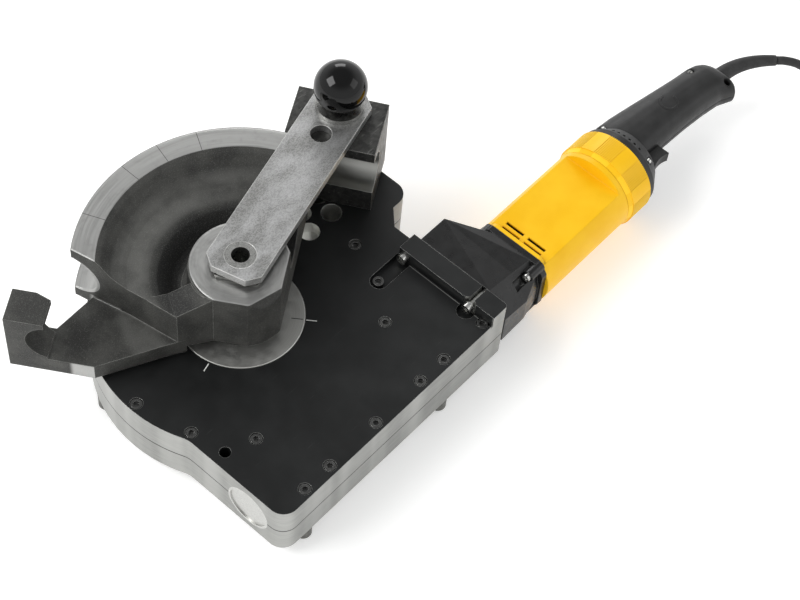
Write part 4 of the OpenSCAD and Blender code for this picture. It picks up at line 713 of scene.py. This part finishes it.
MATERIALS = {
    "plate": coated_plate(),
    "aluminium": bare_aluminium(),
    "former": former_casting(),
    "slide": slide_steel(),
    "bar": flat_bar(),
    "disc": turned_disc(),
    # ground steel of the driver, bolt, bearings and pins
    "steel": turned_steel("bright_steel", "#8d8d8a", "#b6b6b3", rough=(0.26, 0.38)),
    # zinc-plated screws
    "screw": turned_steel("zinc_steel", "#a9a9a6", "#cfcfcc", rough=(0.22, 0.34)),
    # black oxide socket screws; their light edges are partly real wear and partly a painted
    # highlight on the socket rims
    "black_screw": plain("dark_steel", "#4a4a49", "#60605f", size=3.0, rough=(0.3, 0.42),
                         metal=0.9, grain=0.6, depth=0.01, wear_and_highlight=("#a5a5a3", 0.5, 0.3, 1.0)),
    # turned face of the bearing plug
    "plug": turned_steel("turned_aluminium", "#b4b4b1", "#cdcdca", rough=(0.3, 0.42)),
    # shafts, gears and cores as they come from the cutter
    "gear": turned_steel("core_steel", "#5c5c5b", "#7c7c7a", rough=(0.3, 0.42)),
    # machined bronze
    "bronze": plain("bronze", "#9c7636", "#b58c48", size=5.0, rough=(0.3, 0.42),
                    metal=1.0, grain=0.8, depth=0.01),
    # enamelled copper wire
    "copper": plain("copper", "#8f4a22", "#b4652f", size=1.2, rough=(0.28, 0.4),
                    metal=0.9, grain=0.9, depth=0.15),
    # pressed carbon of the brushes
    "carbon": plain("carbon", "#171717", "#242424", size=2.0, rough=(0.6, 0.75),
                    metal=0.0, grain=0.5, depth=0.02),
    # moulded phenolic of the brush plate
    "brown": plain("brown_plastic", "#3a2a1d", "#4a3626", size=6.0, rough=(0.45, 0.55),
                   metal=0.0, grain=0.6, depth=0.01),
    # painted fine casting of the gear neck
    "neck": plain("neck_casting", "#0d0d0d", "#171717", size=18.0, rough=(0.26, 0.36),
                  metal=0.0, grain=1.6, depth=0.03, wear_and_highlight=("#4a4a49", 0.7, 0.35, 0.5),
                  soft=1.2, **HIGH_SHINE),
    # smooth satin yellow plastic
    "yellow": plain("yellow_plastic", *YELLOW, size=40.0, rough=(0.34, 0.42),
                    metal=0.0, grain=1.4, depth=0.008, soft=1.6, **LOW_SHINE),
    "ring": ring_plastic(),
    # fine-grained black plastic of the handle
    "black": plain("black_plastic", *BLACK, size=22.0, rough=(0.44, 0.54),
                   metal=0.0, grain=0.45, depth=0.03, soft=1.5, **HIGH_SHINE),
    "grip": grip_plastic(),
    # polished phenolic ball
    "ball": plain("ball_plastic", "#030303", "#060606", size=14.0, rough=(0.05, 0.09),
                  metal=0.0, grain=9.0, depth=0.004, **MID_SHINE),
    # rubber sheath of the lead
    "rubber": plain("black_rubber", "#1b1b1b", "#262626", size=9.0, rough=(0.55, 0.68),
                    metal=0.0, grain=0.8, depth=0.02),
    # woven nylon strap with hooks and loops
    "tie": plain("woven_nylon_tie", "#101010", "#242424", size=2.4, rough=(0.7, 0.82),
                 metal=0.0, grain=0.8, depth=0.12),
    # dull rolled steel of the feet
    "foot": plain("foot_steel", "#5b5b58", "#74746f", size=4.0, rough=(0.4, 0.55),
                  metal=0.8, grain=0.8, depth=0.02, wear_and_highlight=("#a6a6a2", 0.7, 0.3, 1.0)),
}

LOOKS = {
    "lower_housing": "aluminium", "upper_housing": "plate", "housing_screws": "black_screw",
    "feet": "foot", "bearing_plug": "plug", "spindle_bearing_top": "steel",
    "spindle_bearing_low": "steel", "driver_spindle": "steel", "driver_disc": "disc",
    "worm_wheel": "bronze", "wheel_key": "steel", "worm_shaft": "steel", "clutch_gear": "gear",
    "clutch_spring": "gear", "clutch_nut": "black_screw", "worm_bearings": "steel",
    "counter_shaft": "gear", "counter_bearings": "bronze", "gear_neck": "neck",
    "flange_screws": "screw", "neck_screws": "screw", "motor_housing": "yellow",
    "direction_ring": "ring", "stator": "gear", "stator_windings": "copper",
    "armature": "gear", "commutator": "copper", "cooling_fan": "black", "motor_pinion": "gear",
    "motor_bearings": "steel", "brush_plate": "brown", "brush_holders": "bronze",
    "carbon_brushes": "carbon", "rear_cap": "black", "cap_screws": "screw",
    "handle_upper": "grip", "handle_lower": "grip", "handle_screws": "screw",
    "trigger": "black", "switch_block": "black", "bending_former": "former",
    "slide_block": "slide", "support_bar": "bar", "plug_bolt": "steel", "bolt_collar": "steel",
    "ball_knob": "ball", "mains_plug": "black", "plug_pins": "screw",
    "cord": "rubber", "cord_coil": "rubber", "strain_relief": "rubber",
}


def wear_material(piece, look):
    """Gives a piece one of the materials in all its slots."""
    if not piece.material_slots:
        piece.data.materials.append(None)
    for one in piece.material_slots:
        one.material = MATERIALS[look]


for node_name, look in LOOKS.items():
    wear_material(NODES[node_name], look)
wear_material(mains_cord, "rubber")
wear_material(strain_sleeve, "rubber")
wear_material(cord_tie, "tie")

# stage and light

FLOOR_HALF = 6.0
span = np.linspace(-FLOOR_HALF, FLOOR_HALF, 9)
fx, fy = np.meshgrid(span, span, indexing="ij")
floor = grid_mesh("floor", np.stack([fx, fy, np.zeros_like(fx)], -1))
paper = Paint("studio_paper")
tone = paper.add("Mix", {0: paper.noise(400.0), 6: lin("#f3f3f2"), 7: lin("#f7f7f6")}, **COLOURS)
glow = {"Emission Color": (1.0, 1.0, 1.0, 1.0), "Emission Strength": 0.3}
floor.data.materials.append(paper.shade(tone, rough=0.8, **glow))

STAGE_MIDDLE = Vector((0.0, 0.0, 0.05))


def lamp(name, at, width, height, power):
    """Soft rectangular lamp of so many watts, aimed at the stage's middle; sizes in metres."""
    data = bpy.data.lights.new(name, "AREA")
    data.shape, data.size, data.size_y, data.energy = "RECTANGLE", width, height, power
    o = bpy.data.objects.new(name, data)
    o.location = at
    o.rotation_mode = "QUATERNION"
    o.rotation_quaternion = (STAGE_MIDDLE - Vector(at)).to_track_quat("-Z", "Y")
    bpy.context.scene.collection.objects.link(o)


lamp("key", (-1.9, 1.3, 2.4), width=2.0, height=1.6, power=62.0)
lamp("fill", (1.2, -2.2, 1.8), width=1.8, height=1.4, power=9.0)
lamp("back", (1.8, 1.9, 1.6), width=1.4, height=0.9, power=18.0)

world = bpy.data.worlds.new("studio")
world.use_nodes = True
bpy.context.scene.world = world
# the room is bright all round and dimmer overhead
room = Nodes(world.node_tree)
way = room.add("TexCoord", out="Generated")
height = room.add("SeparateXYZ", {0: way}, out=2)
dim = room.add("MapRange", (height, 0.35, 0.85, 1.1, 0.45), **EASED)
sky = room.add("Background", ((0.94, 0.945, 0.95, 1.0), dim))
room.add("OutputWorld", {0: sky}, out=None)
bpy.context.scene.view_settings.view_transform = "Standard"
